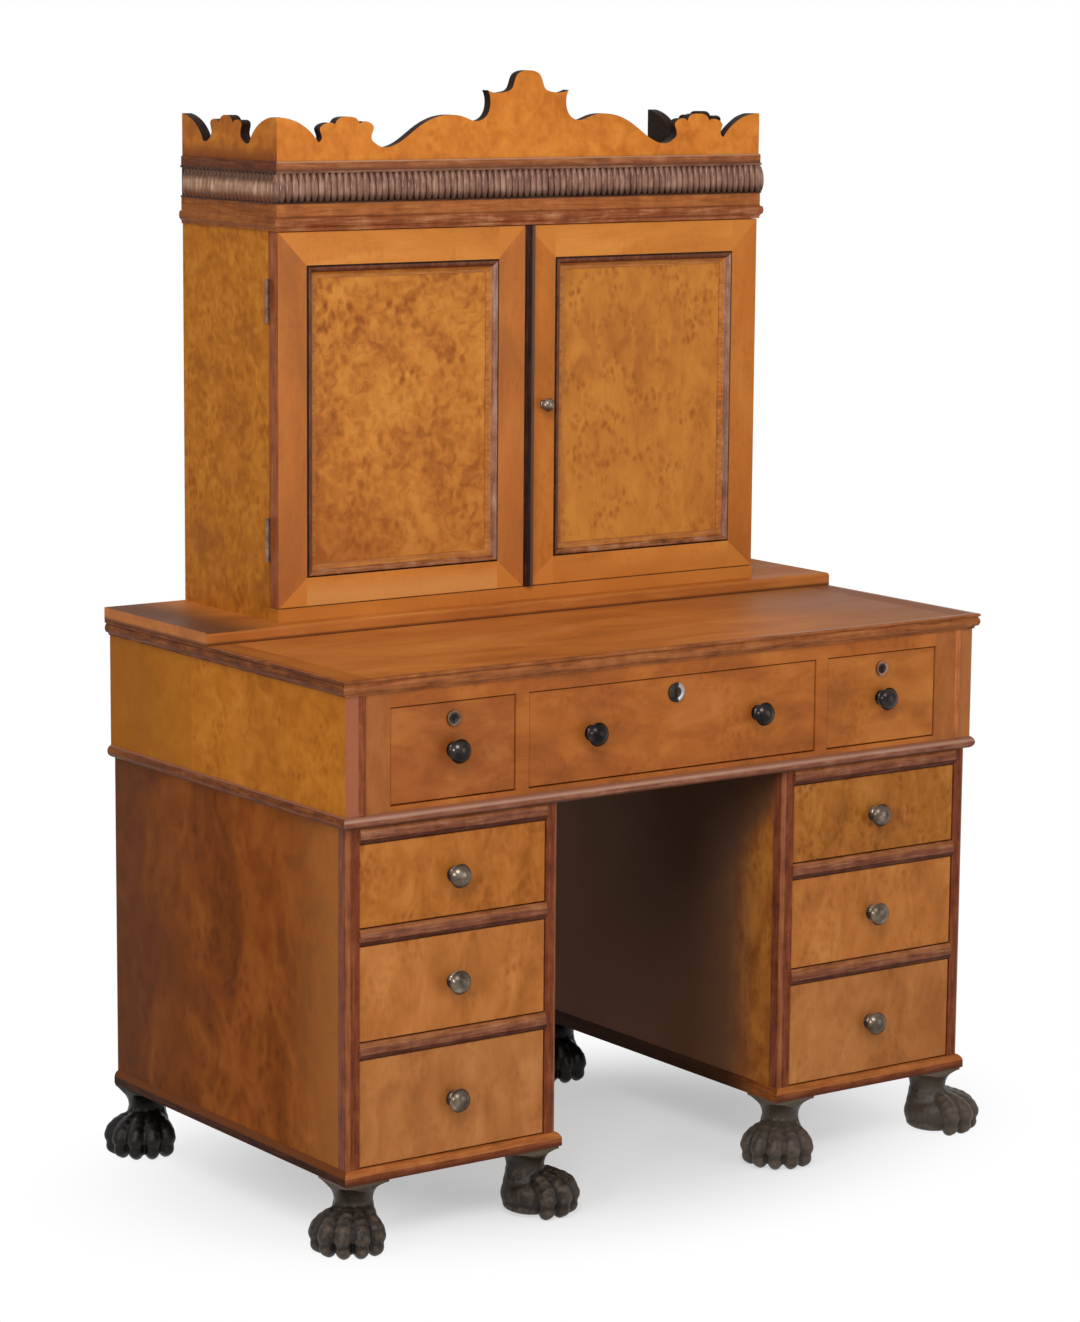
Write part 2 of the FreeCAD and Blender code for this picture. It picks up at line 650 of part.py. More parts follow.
def hinge(way, z, fixed):
    """One leaf of a door hinge at the left (way -1) or right (way 1), with its knuckles."""
    third = hinge_length / 3
    bottom = z - hinge_length / 2
    plate_y = hinge_y + hinge_leaf_gap / 2 if fixed else hinge_y - hinge_leaf_gap / 2 - hinge_leaf
    knuckles = ((bottom, third), (bottom + 2 * third, third)) if fixed else ((bottom + third, third),)
    knuckle_reach = hinge_knuckle_radius + hinge_clearance

    def plate(near, far, z0, z1):
        x0, x1 = sorted((way * near, way * far))
        return board(x0, x1, plate_y, plate_y + hinge_leaf, z0, z1)

    leaf = plate(half_cabinet - hinge_leaf_width, hinge_x - knuckle_reach, bottom, bottom + hinge_length)
    for z0, length in knuckles:
        z0 += hinge_clearance
        length -= 2 * hinge_clearance
        tab = plate(hinge_x - knuckle_reach, hinge_x, z0, z0 + length)
        barrel = Part.makeCylinder(hinge_knuckle_radius, length, Vector(way * hinge_x, hinge_y, z0))
        leaf = leaf.fuse(tab.fuse(barrel))
    hole = Part.makeCylinder(hinge_pin_radius + pin_play, hinge_length + 2 * overrun,
                             Vector(way * hinge_x, hinge_y, bottom - overrun))
    return leaf.cut(hole).removeSplitter().Solids[0]


def hinge_pin(way, z):
    """The pin through the knuckles of one hinge."""
    bottom = z - hinge_length / 2
    return Part.makeCylinder(hinge_pin_radius, hinge_length, Vector(way * hinge_x, hinge_y, bottom))


hinge_heights = (door_level + hinge_inset, door_head - hinge_inset)


def door(way):
    """Frame, panel, panel moulding and hinge leaves of one door."""
    outer = half_cabinet - door_gap
    meeting = way * meeting_line + door_gap / 2
    bottom = door_level + door_gap
    top = door_head - door_gap
    panel_outer = outer - door_stile
    panel_low = bottom + door_bottom_rail
    panel_high = top - door_top_rail

    def piece(near, far, y0, y1, z0, z1):
        x0, x1 = sorted((way * near, way * far))
        return board(x0, x1, y0, y1, z0, z1)

    stile_end = ("X", way * panel_outer)
    meeting_end = ("X", way * panel_margin)
    bead_edge = ("X", way * meeting)
    frame = []
    for near, far, z0, z1, kept in (
            (panel_outer, outer, bottom, top, (stile_end,)),
            (meeting, panel_margin, bottom, top, (meeting_end, bead_edge)),
            (panel_margin, panel_outer, bottom, panel_low, (stile_end, meeting_end, ("Z", panel_low))),
            (panel_margin, panel_outer, panel_high, top, (stile_end, meeting_end, ("Z", panel_high)))):
        stick = piece(near, far, cabinet_front, door_back, z0, z1)
        frame.append(ease_front(stick, cabinet_front, door_round, kept))
    panel_face = cabinet_front + panel_recess
    panel = piece(panel_margin, panel_outer, panel_face, panel_face + panel_thickness,
                  panel_low, panel_high)
    x0, x1 = sorted((way * panel_margin, way * panel_outer))
    moulding = panel_moulding(x0, x1, panel_low, panel_high, panel_face)
    leaves = [hinge(way, z, False) for z in hinge_heights]
    return frame, panel, moulding, leaves


def panel_moulding(x0, x1, z0, z1, face):
    """Four lengths mitred round the inside of a door frame, in front of its panel."""
    width = panel_moulding_width
    depth = panel_recess + panel_moulding_rise
    corners = ((x0, z0), (x1, z0), (x1, z1), (x0, z1))
    inner = ((x0 + width, z0 + width), (x1 - width, z0 + width),
             (x1 - width, z1 - width), (x0 + width, z1 - width))
    strips = []
    for i in range(len(corners)):
        following = (i + 1) % len(corners)
        start = Vector(corners[i][0], face, corners[i][1])
        end = Vector(corners[following][0], face, corners[following][1])
        inwards = Vector(0, -1, 0).cross(end - start).normalize()
        wire = profile_wire(panel_moulding_shares,
                            lambda w, d: start + inwards * (w * width) + Vector(0, -d * depth, 0))
        strip = Part.Face(wire).extrude(end - start)
        plan = [Vector(x, face - depth - overrun, z)
                for x, z in (corners[i], corners[following], inner[following], inner[i])]
        mitre = Part.Face(Part.makePolygon(plan + plan[:1])).extrude(Vector(0, depth + 2 * overrun, 0))
        strips.append(strip.common(mitre).Solids[0])
    return strips


def meeting_bead():
    """The half-round bead on the meeting stile of the right door."""
    edge = meeting_line + door_gap / 2
    bottom = door_level + door_gap
    wire = profile_wire(half_round_shares, lambda o, w: Vector(
        edge + w * meeting_bead_width, cabinet_front - o * meeting_bead_reach, bottom))
    return Part.Face(wire).extrude(Vector(0, 0, door_opening_height - 2 * door_gap))


def door_catch():
    """Knob with its spindle through the right door and a bar that turns behind the left door."""
    bar_front = door_back + catch_gap
    knob = turned_knob(catch_knob_diameter / 2, catch_knob_reach, catch_x, cabinet_front, catch_z,
                       catch_spindle_radius, door_thickness + catch_gap + catch_bar_thickness)
    bar = board(catch_x - catch_bar_width / 2, catch_x + catch_bar_width / 2, bar_front,
                bar_front + catch_bar_thickness, catch_z - catch_bar_reach, catch_z + catch_bar_width / 2)
    return knob.fuse(bar).removeSplitter().Solids[0]


def assemble():
    """Every piece of the desk by the name of its sub-part."""
    parts = {"paw_feet": place_feet()}
    bases, posts, carcases, rails, runners = [], [], [], [], []
    for side, low, high in (("left", -outer_face, -inner_face), ("right", inner_face, outer_face)):
        groups = pedestal(low, high)
        for group, pieces in zip((bases, posts, carcases, rails, runners), groups):
            group += pieces
        for name, level, height in pedestal_openings:
            front, box, stops = drawer(low + post_size, high - post_size, level, level + height,
                                       pedestal_front, pedestal_rear - pedestal_back)
            knob, hole = drawer_knob((low + high) / 2, level + height / 2, pedestal_front)
            stem = f"{side}_{name}_drawer"
            parts[f"{stem}_front"] = [front.cut(hole)]
            parts[f"{stem}_box"] = box
            parts[f"{stem}_knob"] = [knob]
            runners += stops
    carcase, bead, face, frieze_runners = frieze()
    runners += frieze_runners
    for name, x0, x1 in frieze_openings:
        front, box, stops = drawer(x0, x1, frieze_opening_level, frieze_opening_top,
                                   frieze_front, frieze_rear - frieze_back)
        middle = (x0 + x1) / 2
        central = name == "centre"
        spread = centre_knob_share * (x1 - x0)
        knob_z = (frieze_opening_level + frieze_opening_top) / 2
        knobs = []
        for x in (middle - spread, middle + spread) if central else (middle,):
            knob, hole = drawer_knob(x, knob_z, frieze_front)
            knobs.append(knob)
            front = front.cut(hole)
        escutcheon = centre_escutcheon_diameter if central else escutcheon_diameter
        lock, bolt, keyhole = drawer_lock(middle, escutcheon)
        stem = f"frieze_{name}_drawer"
        parts[f"{stem}_front"] = [front.cut(keyhole)]
        parts[f"{stem}_box"] = box
        parts[f"{stem}_knobs" if central else f"{stem}_knob"] = knobs
        parts[f"{stem}_lock"] = lock
        parts[f"{stem}_bolt"] = [bolt]
        runners += stops
    parts["pedestal_bases"] = bases
    parts["pedestal_posts"] = posts
    parts["pedestal_carcases"] = carcases
    parts["pedestal_rails"] = rails
    parts["drawer_runners"] = runners
    parts["frieze_carcase"] = carcase
    parts["frieze_bead"] = bead
    parts["frieze_face"] = face
    boards, edge, platform = writing_top()
    parts["writing_top"] = boards
    parts["top_edge_moulding"] = edge
    parts["platform"] = [platform]
    parts["cabinet_carcase"] = cabinet()
    parts["cornice"], parts["reeded_moulding"] = cornice()
    parts["gallery"] = gallery()
    parts["cabinet_hinge_leaves"] = [piece for way in (-1, 1) for z in hinge_heights
                                     for piece in (hinge(way, z, True), hinge_pin(way, z))]
    for side, way in (("left", -1), ("right", 1)):
        frame, panel, moulding, leaves = door(way)
        if side == "right":
            hole = bore(catch_spindle_radius + pin_play, catch_x, cabinet_front, catch_z, door_thickness)
            frame = [piece.cut(hole) for piece in frame]
        parts[f"{side}_door_frame"] = frame
        parts[f"{side}_door_panel"] = [panel]
        parts[f"{side}_door_moulding"] = moulding
        parts[f"{side}_door_hinge_leaves"] = leaves
    parts["door_meeting_bead"] = [meeting_bead()]
    parts["door_catch"] = [door_catch()]
    return parts


os.makedirs("parts", exist_ok=True)
for node, solids in assemble().items():
    Part.makeCompound(solids).exportStep(f"parts/{node}.step")
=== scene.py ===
# Looks of the pedestal desk. Metres, in the frame of its CAD solids: +Z up, the front faces -Y.
import math

import bpy
from mathutils import Matrix, Vector


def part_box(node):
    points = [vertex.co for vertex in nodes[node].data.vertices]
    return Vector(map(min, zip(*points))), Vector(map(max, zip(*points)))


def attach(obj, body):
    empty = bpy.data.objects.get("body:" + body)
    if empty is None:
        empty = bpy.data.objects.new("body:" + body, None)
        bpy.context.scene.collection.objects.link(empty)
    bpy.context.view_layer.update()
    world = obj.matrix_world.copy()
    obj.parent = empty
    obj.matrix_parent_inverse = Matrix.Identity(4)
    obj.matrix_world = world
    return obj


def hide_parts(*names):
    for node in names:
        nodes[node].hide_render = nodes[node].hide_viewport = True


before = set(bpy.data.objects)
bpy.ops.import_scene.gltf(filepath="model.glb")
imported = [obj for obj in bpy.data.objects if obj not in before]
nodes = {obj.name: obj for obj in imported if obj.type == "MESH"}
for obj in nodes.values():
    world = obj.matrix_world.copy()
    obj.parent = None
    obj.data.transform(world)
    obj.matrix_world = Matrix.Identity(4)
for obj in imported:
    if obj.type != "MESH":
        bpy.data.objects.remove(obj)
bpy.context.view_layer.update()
MM = 0.001
ALONG, INWARDS, UP = (1, 0, 0), (0, 1, 0), (0, 0, 1)


# Shader nodes

def linear(colour):
    """An sRGB hex colour as the linear colour that a shader takes."""
    parts = [int(colour[i:i + 2], 16) / 255 for i in (1, 3, 5)]
    return [p / 12.92 if p <= 0.04045 else ((p + 0.055) / 1.055) ** 2.4 for p in parts] + [1.0]


def add(tree, kind, inputs=None, stops=(), **settings):
    """One node with its settings, its colour stops, and its inputs set to values or linked to sockets."""
    node = tree.nodes.new(kind)
    for name, value in settings.items():
        setattr(node, name, value)
    for socket, value in (inputs or {}).items():
        if isinstance(value, bpy.types.NodeSocket):
            tree.links.new(value, node.inputs[socket])
        else:
            node.inputs[socket].default_value = value
    for i, (place, colour) in enumerate(stops):
        band = node.color_ramp.elements
        stop = band[i] if i < 2 else band.new(place)
        stop.position = place
        stop.color = linear(colour)
    return node


def new_finish(name, roughness, metallic=0.0, specular=0.5):
    """An empty finish and its node tree, with the shader's plain values set."""
    material = bpy.data.materials.new(name)
    material.use_nodes = True
    tree = material.node_tree
    shader = tree.nodes["Principled BSDF"]
    shader.inputs["Roughness"].default_value = roughness
    shader.inputs["Metallic"].default_value = metallic
    shader.inputs["Specular IOR Level"].default_value = specular
    return material, tree, shader


# Finishes

def mix_tints_and_painted_light(tree, place, colour, tints_and_painted_light):
    """Mixes tints, dirt, wear and painted light and shade into a colour: each entry is a direction, where
    along it the tint begins and is full, its colour and its share."""
    for way, begin, full, tint, share in tints_and_painted_light:
        depth = add(tree, "ShaderNodeVectorMath", {0: place, 1: way},
                    operation="DOT_PRODUCT").outputs["Value"]
        depth = add(tree, "ShaderNodeMapRange", {0: depth, 1: begin, 2: full, 4: share},
                    interpolation_type="SMOOTHSTEP").outputs[0]
        colour = add(tree, "ShaderNodeMix", {0: depth, 6: colour, 7: linear(tint)},
                     data_type="RGBA").outputs[2]
    return colour


def polished_veneer(name, dark, body, light, grain, figure_mm=30, curl=0.8, cloud_mm=110, stretch=0.33,
                    fibres=0.25, fleck_mm=11, flecks=0.25, fleck_patch_mm=70, rings=0, roughness=0.4,
                    specular=0.1, tints_and_painted_light=(), shift=(0, 0, 0)):
    """Sliced maple or burr veneer under shellac: soft clouds of tone, a curling figure, fine fibres along
    the grain and small dark eyes that gather in patches. Rings draws arched growth lines through the clouds.
    A planed board is drawn the same way, with a straight figure and no shine."""
    fibre_mm = 2.4     # real fibres are finer, but wouldn't show
    curl_mm = 16       # size and reach of the curls that bend the eyes
    material, tree, shader = new_finish(name, roughness, specular=specular)
    place = add(tree, "ShaderNodeTexCoord").outputs["Object"]
    spot = add(tree, "ShaderNodeMapping", {"Vector": place, "Location": shift}).outputs[0]
    along = add(tree, "ShaderNodeMapping",
                {"Vector": spot, "Scale": [0.1 if a == grain else 1 for a in "xyz"]}).outputs[0]
    partly = add(tree, "ShaderNodeMapping",
                 {"Vector": spot, "Scale": [stretch if a == grain else 1 for a in "xyz"]}).outputs[0]
    cloud = add(tree, "ShaderNodeTexNoise", {"Vector": partly, "Scale": 1000 / cloud_mm, "Detail": 2.0,
                                             "Distortion": 0.8}).outputs[0]
    figure = add(tree, "ShaderNodeTexNoise", {"Vector": partly, "Scale": 1000 / figure_mm, "Detail": 3.0,
                                              "Roughness": 0.5, "Distortion": curl}).outputs[0]
    fibre = add(tree, "ShaderNodeTexNoise", {"Vector": along, "Scale": 1000 / fibre_mm, "Detail": 3.0,
                                             "Roughness": 0.7}).outputs[0]
    soft = add(tree, "ShaderNodeMix", {0: 0.55, 2: cloud, 3: figure}).outputs[0]
    tone = add(tree, "ShaderNodeMix", {0: fibres, 2: soft, 3: fibre}).outputs[0]
    if rings:
        arch = add(tree, "ShaderNodeMath", {0: cloud, 1: rings}, operation="MULTIPLY").outputs[0]
        arch = add(tree, "ShaderNodeMath", {0: arch, 1: 1.0}, operation="PINGPONG").outputs[0]
        arch = add(tree, "ShaderNodeMapRange", {0: arch, 3: 0.36, 4: 0.62}).outputs[0]
        tone = add(tree, "ShaderNodeMix", {0: 0.4, 2: tone, 3: arch}).outputs[0]
    wood = add(tree, "ShaderNodeValToRGB", {0: tone},
               stops=((0.36, dark), (0.64, light), (0.5, body))).outputs[0]
    warp = add(tree, "ShaderNodeTexNoise",
               {"Vector": spot, "Scale": 1000 / curl_mm, "Detail": 3.0}).outputs[1]
    bent = add(tree, "ShaderNodeVectorMath", {0: warp, 1: [curl_mm * MM] * 3, 2: spot},
               operation="MULTIPLY_ADD").outputs[0]
    bent = add(tree, "ShaderNodeMapping", {"Vector": bent, "Rotation": (0.6, 0.6, 0),
                                           "Scale": (1.15, 1.15, 0.75)}).outputs[0]
    eye = add(tree, "ShaderNodeTexVoronoi", {"Vector": bent, "Scale": 1000 / fleck_mm}).outputs["Distance"]
    eye = add(tree, "ShaderNodeMapRange", {0: eye, 1: 0.04, 2: 0.6, 3: 1.0, 4: 0.0}).outputs[0]
    patch = add(tree, "ShaderNodeTexNoise", {"Vector": spot, "Scale": 1000 / fleck_patch_mm,
                                             "Detail": 3.0}).outputs[0]
    patch = add(tree, "ShaderNodeMapRange", {0: patch, 1: 0.42, 2: 0.66, 3: 0.0, 4: flecks}).outputs[0]
    eye = add(tree, "ShaderNodeMath", {0: eye, 1: patch}, operation="MULTIPLY").outputs[0]
    colour = add(tree, "ShaderNodeMix", {0: eye, 6: wood, 7: linear(dark)}, data_type="RGBA").outputs[2]
    colour = add(tree, "ShaderNodeMix", {0: eye, 6: colour, 7: linear("#D4BFAD")}, data_type="RGBA",
                 blend_type="MULTIPLY").outputs[2]
    tree.links.new(mix_tints_and_painted_light(tree, place, colour, tints_and_painted_light), shader.inputs["Base Color"])
    gloss = add(tree, "ShaderNodeMapRange",
                {0: cloud, 1: 0.3, 2: 0.7, 3: roughness - 0.06, 4: roughness + 0.08})
    tree.links.new(gloss.outputs[0], shader.inputs["Roughness"])
    bump = add(tree, "ShaderNodeBump", {"Strength": 0.12, "Distance": 0.0004, "Height": fibre})
    tree.links.new(bump.outputs[0], shader.inputs["Normal"])
    return material


def stained_moulding(name, dark, body, worn, grain, roughness=0.34, specular=0.3, tints_and_painted_light=()):
    """Red-brown hardwood moulding, stained and waxed: streaks along its length, rubbed lighter in places."""
    streak_mm, rub_mm = 4, 26
    material, tree, shader = new_finish(name, roughness, specular=specular)
    place = add(tree, "ShaderNodeTexCoord").outputs["Object"]
    along = add(tree, "ShaderNodeMapping", {"Vector": place,
                                            "Scale": [0.08 if a == grain else 1 for a in "xyz"]}).outputs[0]
    streak = add(tree, "ShaderNodeTexNoise", {"Vector": along, "Scale": 1000 / streak_mm, "Detail": 4.0,
                                              "Roughness": 0.65}).outputs[0]
    rub = add(tree, "ShaderNodeTexNoise", {"Vector": place, "Scale": 1000 / rub_mm, "Detail": 4.0,
                                           "Roughness": 0.6}).outputs[0]
    tone = add(tree, "ShaderNodeMix", {0: 0.4, 2: streak, 3: rub}).outputs[0]
    wood = add(tree, "ShaderNodeValToRGB", {0: tone},
               stops=((0.36, dark), (0.66, worn), (0.5, body))).outputs[0]
    tree.links.new(mix_tints_and_painted_light(tree, place, wood, tints_and_painted_light), shader.inputs["Base Color"])
    gloss = add(tree, "ShaderNodeMapRange",
                {0: rub, 1: 0.3, 2: 0.7, 3: roughness - 0.06, 4: roughness + 0.12})
    tree.links.new(gloss.outputs[0], shader.inputs["Roughness"])
    bump = add(tree, "ShaderNodeBump", {"Strength": 0.2, "Distance": 0.0005, "Height": streak})
    tree.links.new(bump.outputs[0], shader.inputs["Normal"])
    return material


def patinated_metal(name, dark, body, worn, roughness=0.3, metallic=0.9):
    """Cast bronze or brass with an old patina: brown in patches, brighter where hands rub it."""
    patch_mm = 22
    material, tree, shader = new_finish(name, roughness, metallic)
    place = add(tree, "ShaderNodeTexCoord").outputs["Object"]
    mottle = add(tree, "ShaderNodeTexNoise", {"Vector": place, "Scale": 1000 / patch_mm, "Detail": 4.0,
                                              "Roughness": 0.55}).outputs[0]
    metal = add(tree, "ShaderNodeValToRGB", {0: mottle},
                stops=((0.32, dark), (0.7, worn), (0.5, body))).outputs[0]
    tree.links.new(metal, shader.inputs["Base Color"])
    gloss = add(tree, "ShaderNodeMapRange",
                {0: mottle, 1: 0.3, 2: 0.7, 3: roughness + 0.08, 4: roughness - 0.06})
    tree.links.new(gloss.outputs[0], shader.inputs["Roughness"])
    return material


def bronzed_carving(name, dark, body, worn, tints_and_painted_light=()):
    """Carved wood painted to look like bronze: nearly black in the cuts, rubbed brown on the ridges."""
    mottle_mm, gouge_mm = 12, 5
    material, tree, shader = new_finish(name, 0.4, specular=0.2)
    place = add(tree, "ShaderNodeTexCoord").outputs["Object"]
    ridge = add(tree, "ShaderNodeNewGeometry").outputs["Pointiness"]
    ridge = add(tree, "ShaderNodeMapRange", {0: ridge, 1: 0.44, 2: 0.58}).outputs[0]
    mottle = add(tree, "ShaderNodeTexNoise", {"Vector": place, "Scale": 1000 / mottle_mm, "Detail": 5.0,
                                              "Roughness": 0.65}).outputs[0]
    tone = add(tree, "ShaderNodeMix", {0: 0.45, 2: ridge, 3: mottle}).outputs[0]
    paint_coat = add(tree, "ShaderNodeValToRGB", {0: tone},
                     stops=((0.3, dark), (0.72, worn), (0.5, body))).outputs[0]
    tree.links.new(mix_tints_and_painted_light(tree, place, paint_coat, tints_and_painted_light), shader.inputs["Base Color"])
    gloss = add(tree, "ShaderNodeMapRange", {0: mottle, 1: 0.3, 2: 0.7, 3: 0.32, 4: 0.52})
    tree.links.new(gloss.outputs[0], shader.inputs["Roughness"])
    gouge = add(tree, "ShaderNodeMapping", {"Vector": place, "Scale": (1, 1, 0.2)}).outputs[0]
    gouge = add(tree, "ShaderNodeTexNoise",
                {"Vector": gouge, "Scale": 1000 / gouge_mm, "Detail": 3.0}).outputs[0]
    bump = add(tree, "ShaderNodeBump", {"Strength": 0.35, "Distance": 0.0012, "Height": gouge})
    tree.links.new(bump.outputs[0], shader.inputs["Normal"])
    return material


# Veneers of the doors

panel_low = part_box("left_door_panel")[0]
panel_corner = -panel_low.x - panel_low.z     # the lower left corner, where the veneer is darkest
left_burr = polished_veneer("amboyna_burr_left", "#9A561E", "#BC752C", "#CC883A", "", figure_mm=18, curl=0.9,
                            cloud_mm=110, fibres=0.08, fleck_mm=14, flecks=1.0, fleck_patch_mm=80,
                            tints_and_painted_light=((UP, panel_low.z + 0.16, panel_low.z, "#9C5A28", 0.25),
                                   ((-1, 0, -1), panel_corner - 0.24, panel_corner - 0.03, "#98521E", 0.45)),
                            shift=(0.06, 0, 0.35))
right_burr = polished_veneer("amboyna_burr_right", "#A96526", "#BD772E", "#C78436", "z", figure_mm=24,
                             curl=0.7, cloud_mm=150, stretch=0.5, fibres=0.12, fleck_mm=11, flecks=0.85,
                             fleck_patch_mm=45, shift=(0.4, 0, 0.1))
back_maple = polished_veneer("maple_back_board", "#9E5C2A", "#B3692F", "#C0783A", "z", figure_mm=60,
                             cloud_mm=150, fibres=0.15)
# Painted light: below the panel's foot the left door's bottom rail is painted lighter.
left_rail = polished_veneer("maple_left_door_rail", "#AC6628", "#C47830", "#D2883C", "x", figure_mm=60,
                            cloud_mm=150, fibres=0.15,
                            tints_and_painted_light=((UP, panel_low.z, panel_low.z - 0.03, "#D29250", 0.7),))
# Painted shade: below the panel's foot this rail finish, on the right door and the carcase's front strips, is
# painted a little darker.
right_rail = polished_veneer("maple_right_door_rail", "#AC6628", "#C47830", "#D2883C", "x", figure_mm=60,
                             cloud_mm=150, fibres=0.15,
                             tints_and_painted_light=((UP, panel_low.z, panel_low.z - 0.03, "#BA6E2A", 0.6),))


def mitred_stile(name, dark, body, light, door, opening, way):
    """A door stile mitred into the rails, which are lighter: way points from it to the panel."""
    edge, inner = (door[0].x, opening[0].x) if way > 0 else (door[1].x, opening[1].x)
    rails = []
    for up, end, rail in ((1, door[1].z, opening[1].z), (-1, door[0].z, opening[0].z)):
        slope = abs(end - rail) / abs(inner - edge)
        line = way * slope * edge + up * end
        rails.append(((way * slope, 0, up), line - MM, line + MM, "#C67A32", 0.9))
    return polished_veneer(name, dark, body, light, "z", figure_mm=60, cloud_mm=150, fibres=0.15, tints_and_painted_light=rails)


# Veneers of the drawers, sides and tops

drawer_veneer = {
    "left_top": polished_veneer("burr_left_top_drawer", "#8E5018", "#A66224", "#B67232", "z", figure_mm=30,
                                curl=1.2, cloud_mm=70, stretch=0.6, fibres=0.1, flecks=0.7,
                                fleck_patch_mm=60),
    "right_top": polished_veneer("burr_right_top_drawer", "#885018", "#9E5E22", "#AE6E30", "z", figure_mm=26,
                                 curl=1.2, cloud_mm=70, stretch=0.6, fibres=0.1, flecks=0.8,
                                 fleck_patch_mm=55),
    "middle": polished_veneer("maple_middle_drawer", "#985A26", "#AE6A31", "#BC7A3E", "z", figure_mm=36,
                              curl=1.0, cloud_mm=90, stretch=0.5, fibres=0.12, flecks=0.5, fleck_patch_mm=60,
                              shift=(0.3, 0, 0)),
    "bottom": polished_veneer("maple_bottom_drawer", "#965A2A", "#A96935", "#B67842", "z", figure_mm=40,
                              curl=0.8, cloud_mm=100, stretch=0.5, fibres=0.12, flecks=0.35,
                              fleck_patch_mm=60, shift=(0.7, 0, 0)),
}
frieze_veneer = {
    "left": polished_veneer("maple_left_frieze_drawer", "#7E421C", "#965222", "#A8642E", "x", figure_mm=40,
                            cloud_mm=90, stretch=0.5, fibres=0.12),
    "centre": polished_veneer("maple_centre_frieze_drawer", "#8A4A1C", "#A35B24", "#B46C30", "x",
                              figure_mm=40, cloud_mm=110, stretch=0.5, fibres=0.12, flecks=0.4),
    "right": polished_veneer("maple_right_frieze_drawer", "#905020", "#A86228", "#B87234", "x", figure_mm=40,
                             cloud_mm=90, stretch=0.5, fibres=0.12, flecks=0.4),
}
stile_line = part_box("frieze_face")[1].x - 31 * MM     # the bead's inner edge
frieze_stile = polished_veneer("maple_frieze_face", "#864A20", "#9A5A2A", "#A86836", "z", figure_mm=40,
                               cloud_mm=90, fibres=0.15,
                               tints_and_painted_light=((ALONG, -stile_line, -stile_line - 2 * MM, "#9C5C44", 0.7),
                                      (ALONG, stile_line, stile_line + 2 * MM, "#A8683C", 0.5)))
side_burr = polished_veneer("burr_cabinet_side", "#94541A", "#AC6820", "#BA782C", "", figure_mm=22, curl=1.0,
                            cloud_mm=70, fibres=0.06, flecks=0.6, specular=0.04, roughness=0.5)
frieze_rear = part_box("frieze_carcase")[1].y
leaf_joint = 0.1     # two leaves of veneer meet here
# Painted shade: the frieze end darkens towards the rear; the second tint marks the real joint between two
# leaves of veneer.
frieze_end_burr = polished_veneer("burr_frieze_end", "#9A5814", "#AC681C", "#B87428", "", figure_mm=40,
                                  curl=0.9, cloud_mm=170, fibres=0.06, flecks=0.6, fleck_patch_mm=50,
                                  specular=0.04, roughness=0.5,
                                  tints_and_painted_light=((INWARDS, 0.0, frieze_rear, "#8A5012", 0.6),
                                         (INWARDS, leaf_joint, leaf_joint + MM, "#965814", 0.35)))
# Painted light and shade: the pedestal side is painted lighter towards the front and darker towards the rear.
pedestal_flame = polished_veneer("flame_pedestal_side", "#562806", "#783C10", "#94521E", "z", figure_mm=60,
                                 curl=1.6, cloud_mm=240, stretch=0.7, fibres=0.08, flecks=0.5, fleck_mm=16,
                                 rings=9, specular=0.03, roughness=0.5,
                                 tints_and_painted_light=((INWARDS, -0.1, -0.28, "#A06430", 0.65),
                                        (INWARDS, 0.0, 0.3, "#563420", 0.55)))
front_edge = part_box("pedestal_posts")[0].y
under_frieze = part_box("frieze_carcase")[0].z
lit_edge = front_edge + under_frieze     # the frieze's shadow falls at a slant
# Painted shadow and shade: the kneehole side is painted dark under a slanting painted shadow of the frieze
# and back from its front edge, greying again further to the rear.
kneehole_side = polished_veneer("flame_kneehole_side", "#6E3A12", "#955622", "#B2702E", "z", figure_mm=60,
                                curl=1.6, cloud_mm=120, stretch=0.6, fibres=0.1, flecks=0.45,
                                fleck_patch_mm=50, specular=0.03, roughness=0.6,
                                tints_and_painted_light=(((0, 1, 1), lit_edge - 0.06, lit_edge - 0.005, "#563B2B", 0.85),
                                       (INWARDS, front_edge + 0.03, front_edge + 0.13, "#563B2B", 0.95),
                                       (INWARDS, front_edge + 0.2, front_edge + 0.42, "#745442", 0.8)))
gallery_burr = polished_veneer("burr_gallery", "#B8681F", "#CA772A", "#D68634", "", figure_mm=20, curl=0.6,
                               cloud_mm=80, fibres=0.1, flecks=0.4, fleck_patch_mm=60)
gallery_low, gallery_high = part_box("gallery")
# Painted shade: the gallery's ends are a darker copy of its front veneer, darker still towards their foot.
gallery_end_burr_painted_shade = polished_veneer(
    "burr_gallery_end_painted_shade", "#98541A", "#AE6622", "#BC7630", "", figure_mm=20, curl=0.6, cloud_mm=80, fibres=0.1,
    flecks=0.4, fleck_patch_mm=60, specular=0.04,
    tints_and_painted_light=((UP, gallery_low.z + 40 * MM, gallery_low.z + 14 * MM, "#6E3416", 0.8),))
top_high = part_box("writing_top")[1]
# Painted shade: the top's boards and cleats are painted darker and greyer towards the right end.
top_boards = polished_veneer("maple_top", "#9C5826", "#B86E30", "#C67E3C", "x", figure_mm=70, cloud_mm=160,
                             flecks=0.12, fibres=0.18, roughness=0.55,
                             tints_and_painted_light=((ALONG, top_high.x - 0.4, top_high.x - 0.05, "#845636", 0.7),))
top_cleats = polished_veneer("maple_cleat", "#905022", "#A46028", "#B27034", "y", figure_mm=70, flecks=0.1,
                             fibres=0.18, specular=0.05, roughness=0.55,
                             tints_and_painted_light=((ALONG, 0, 0.2, "#7E5238", 0.7),))
platform_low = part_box("platform")[0]
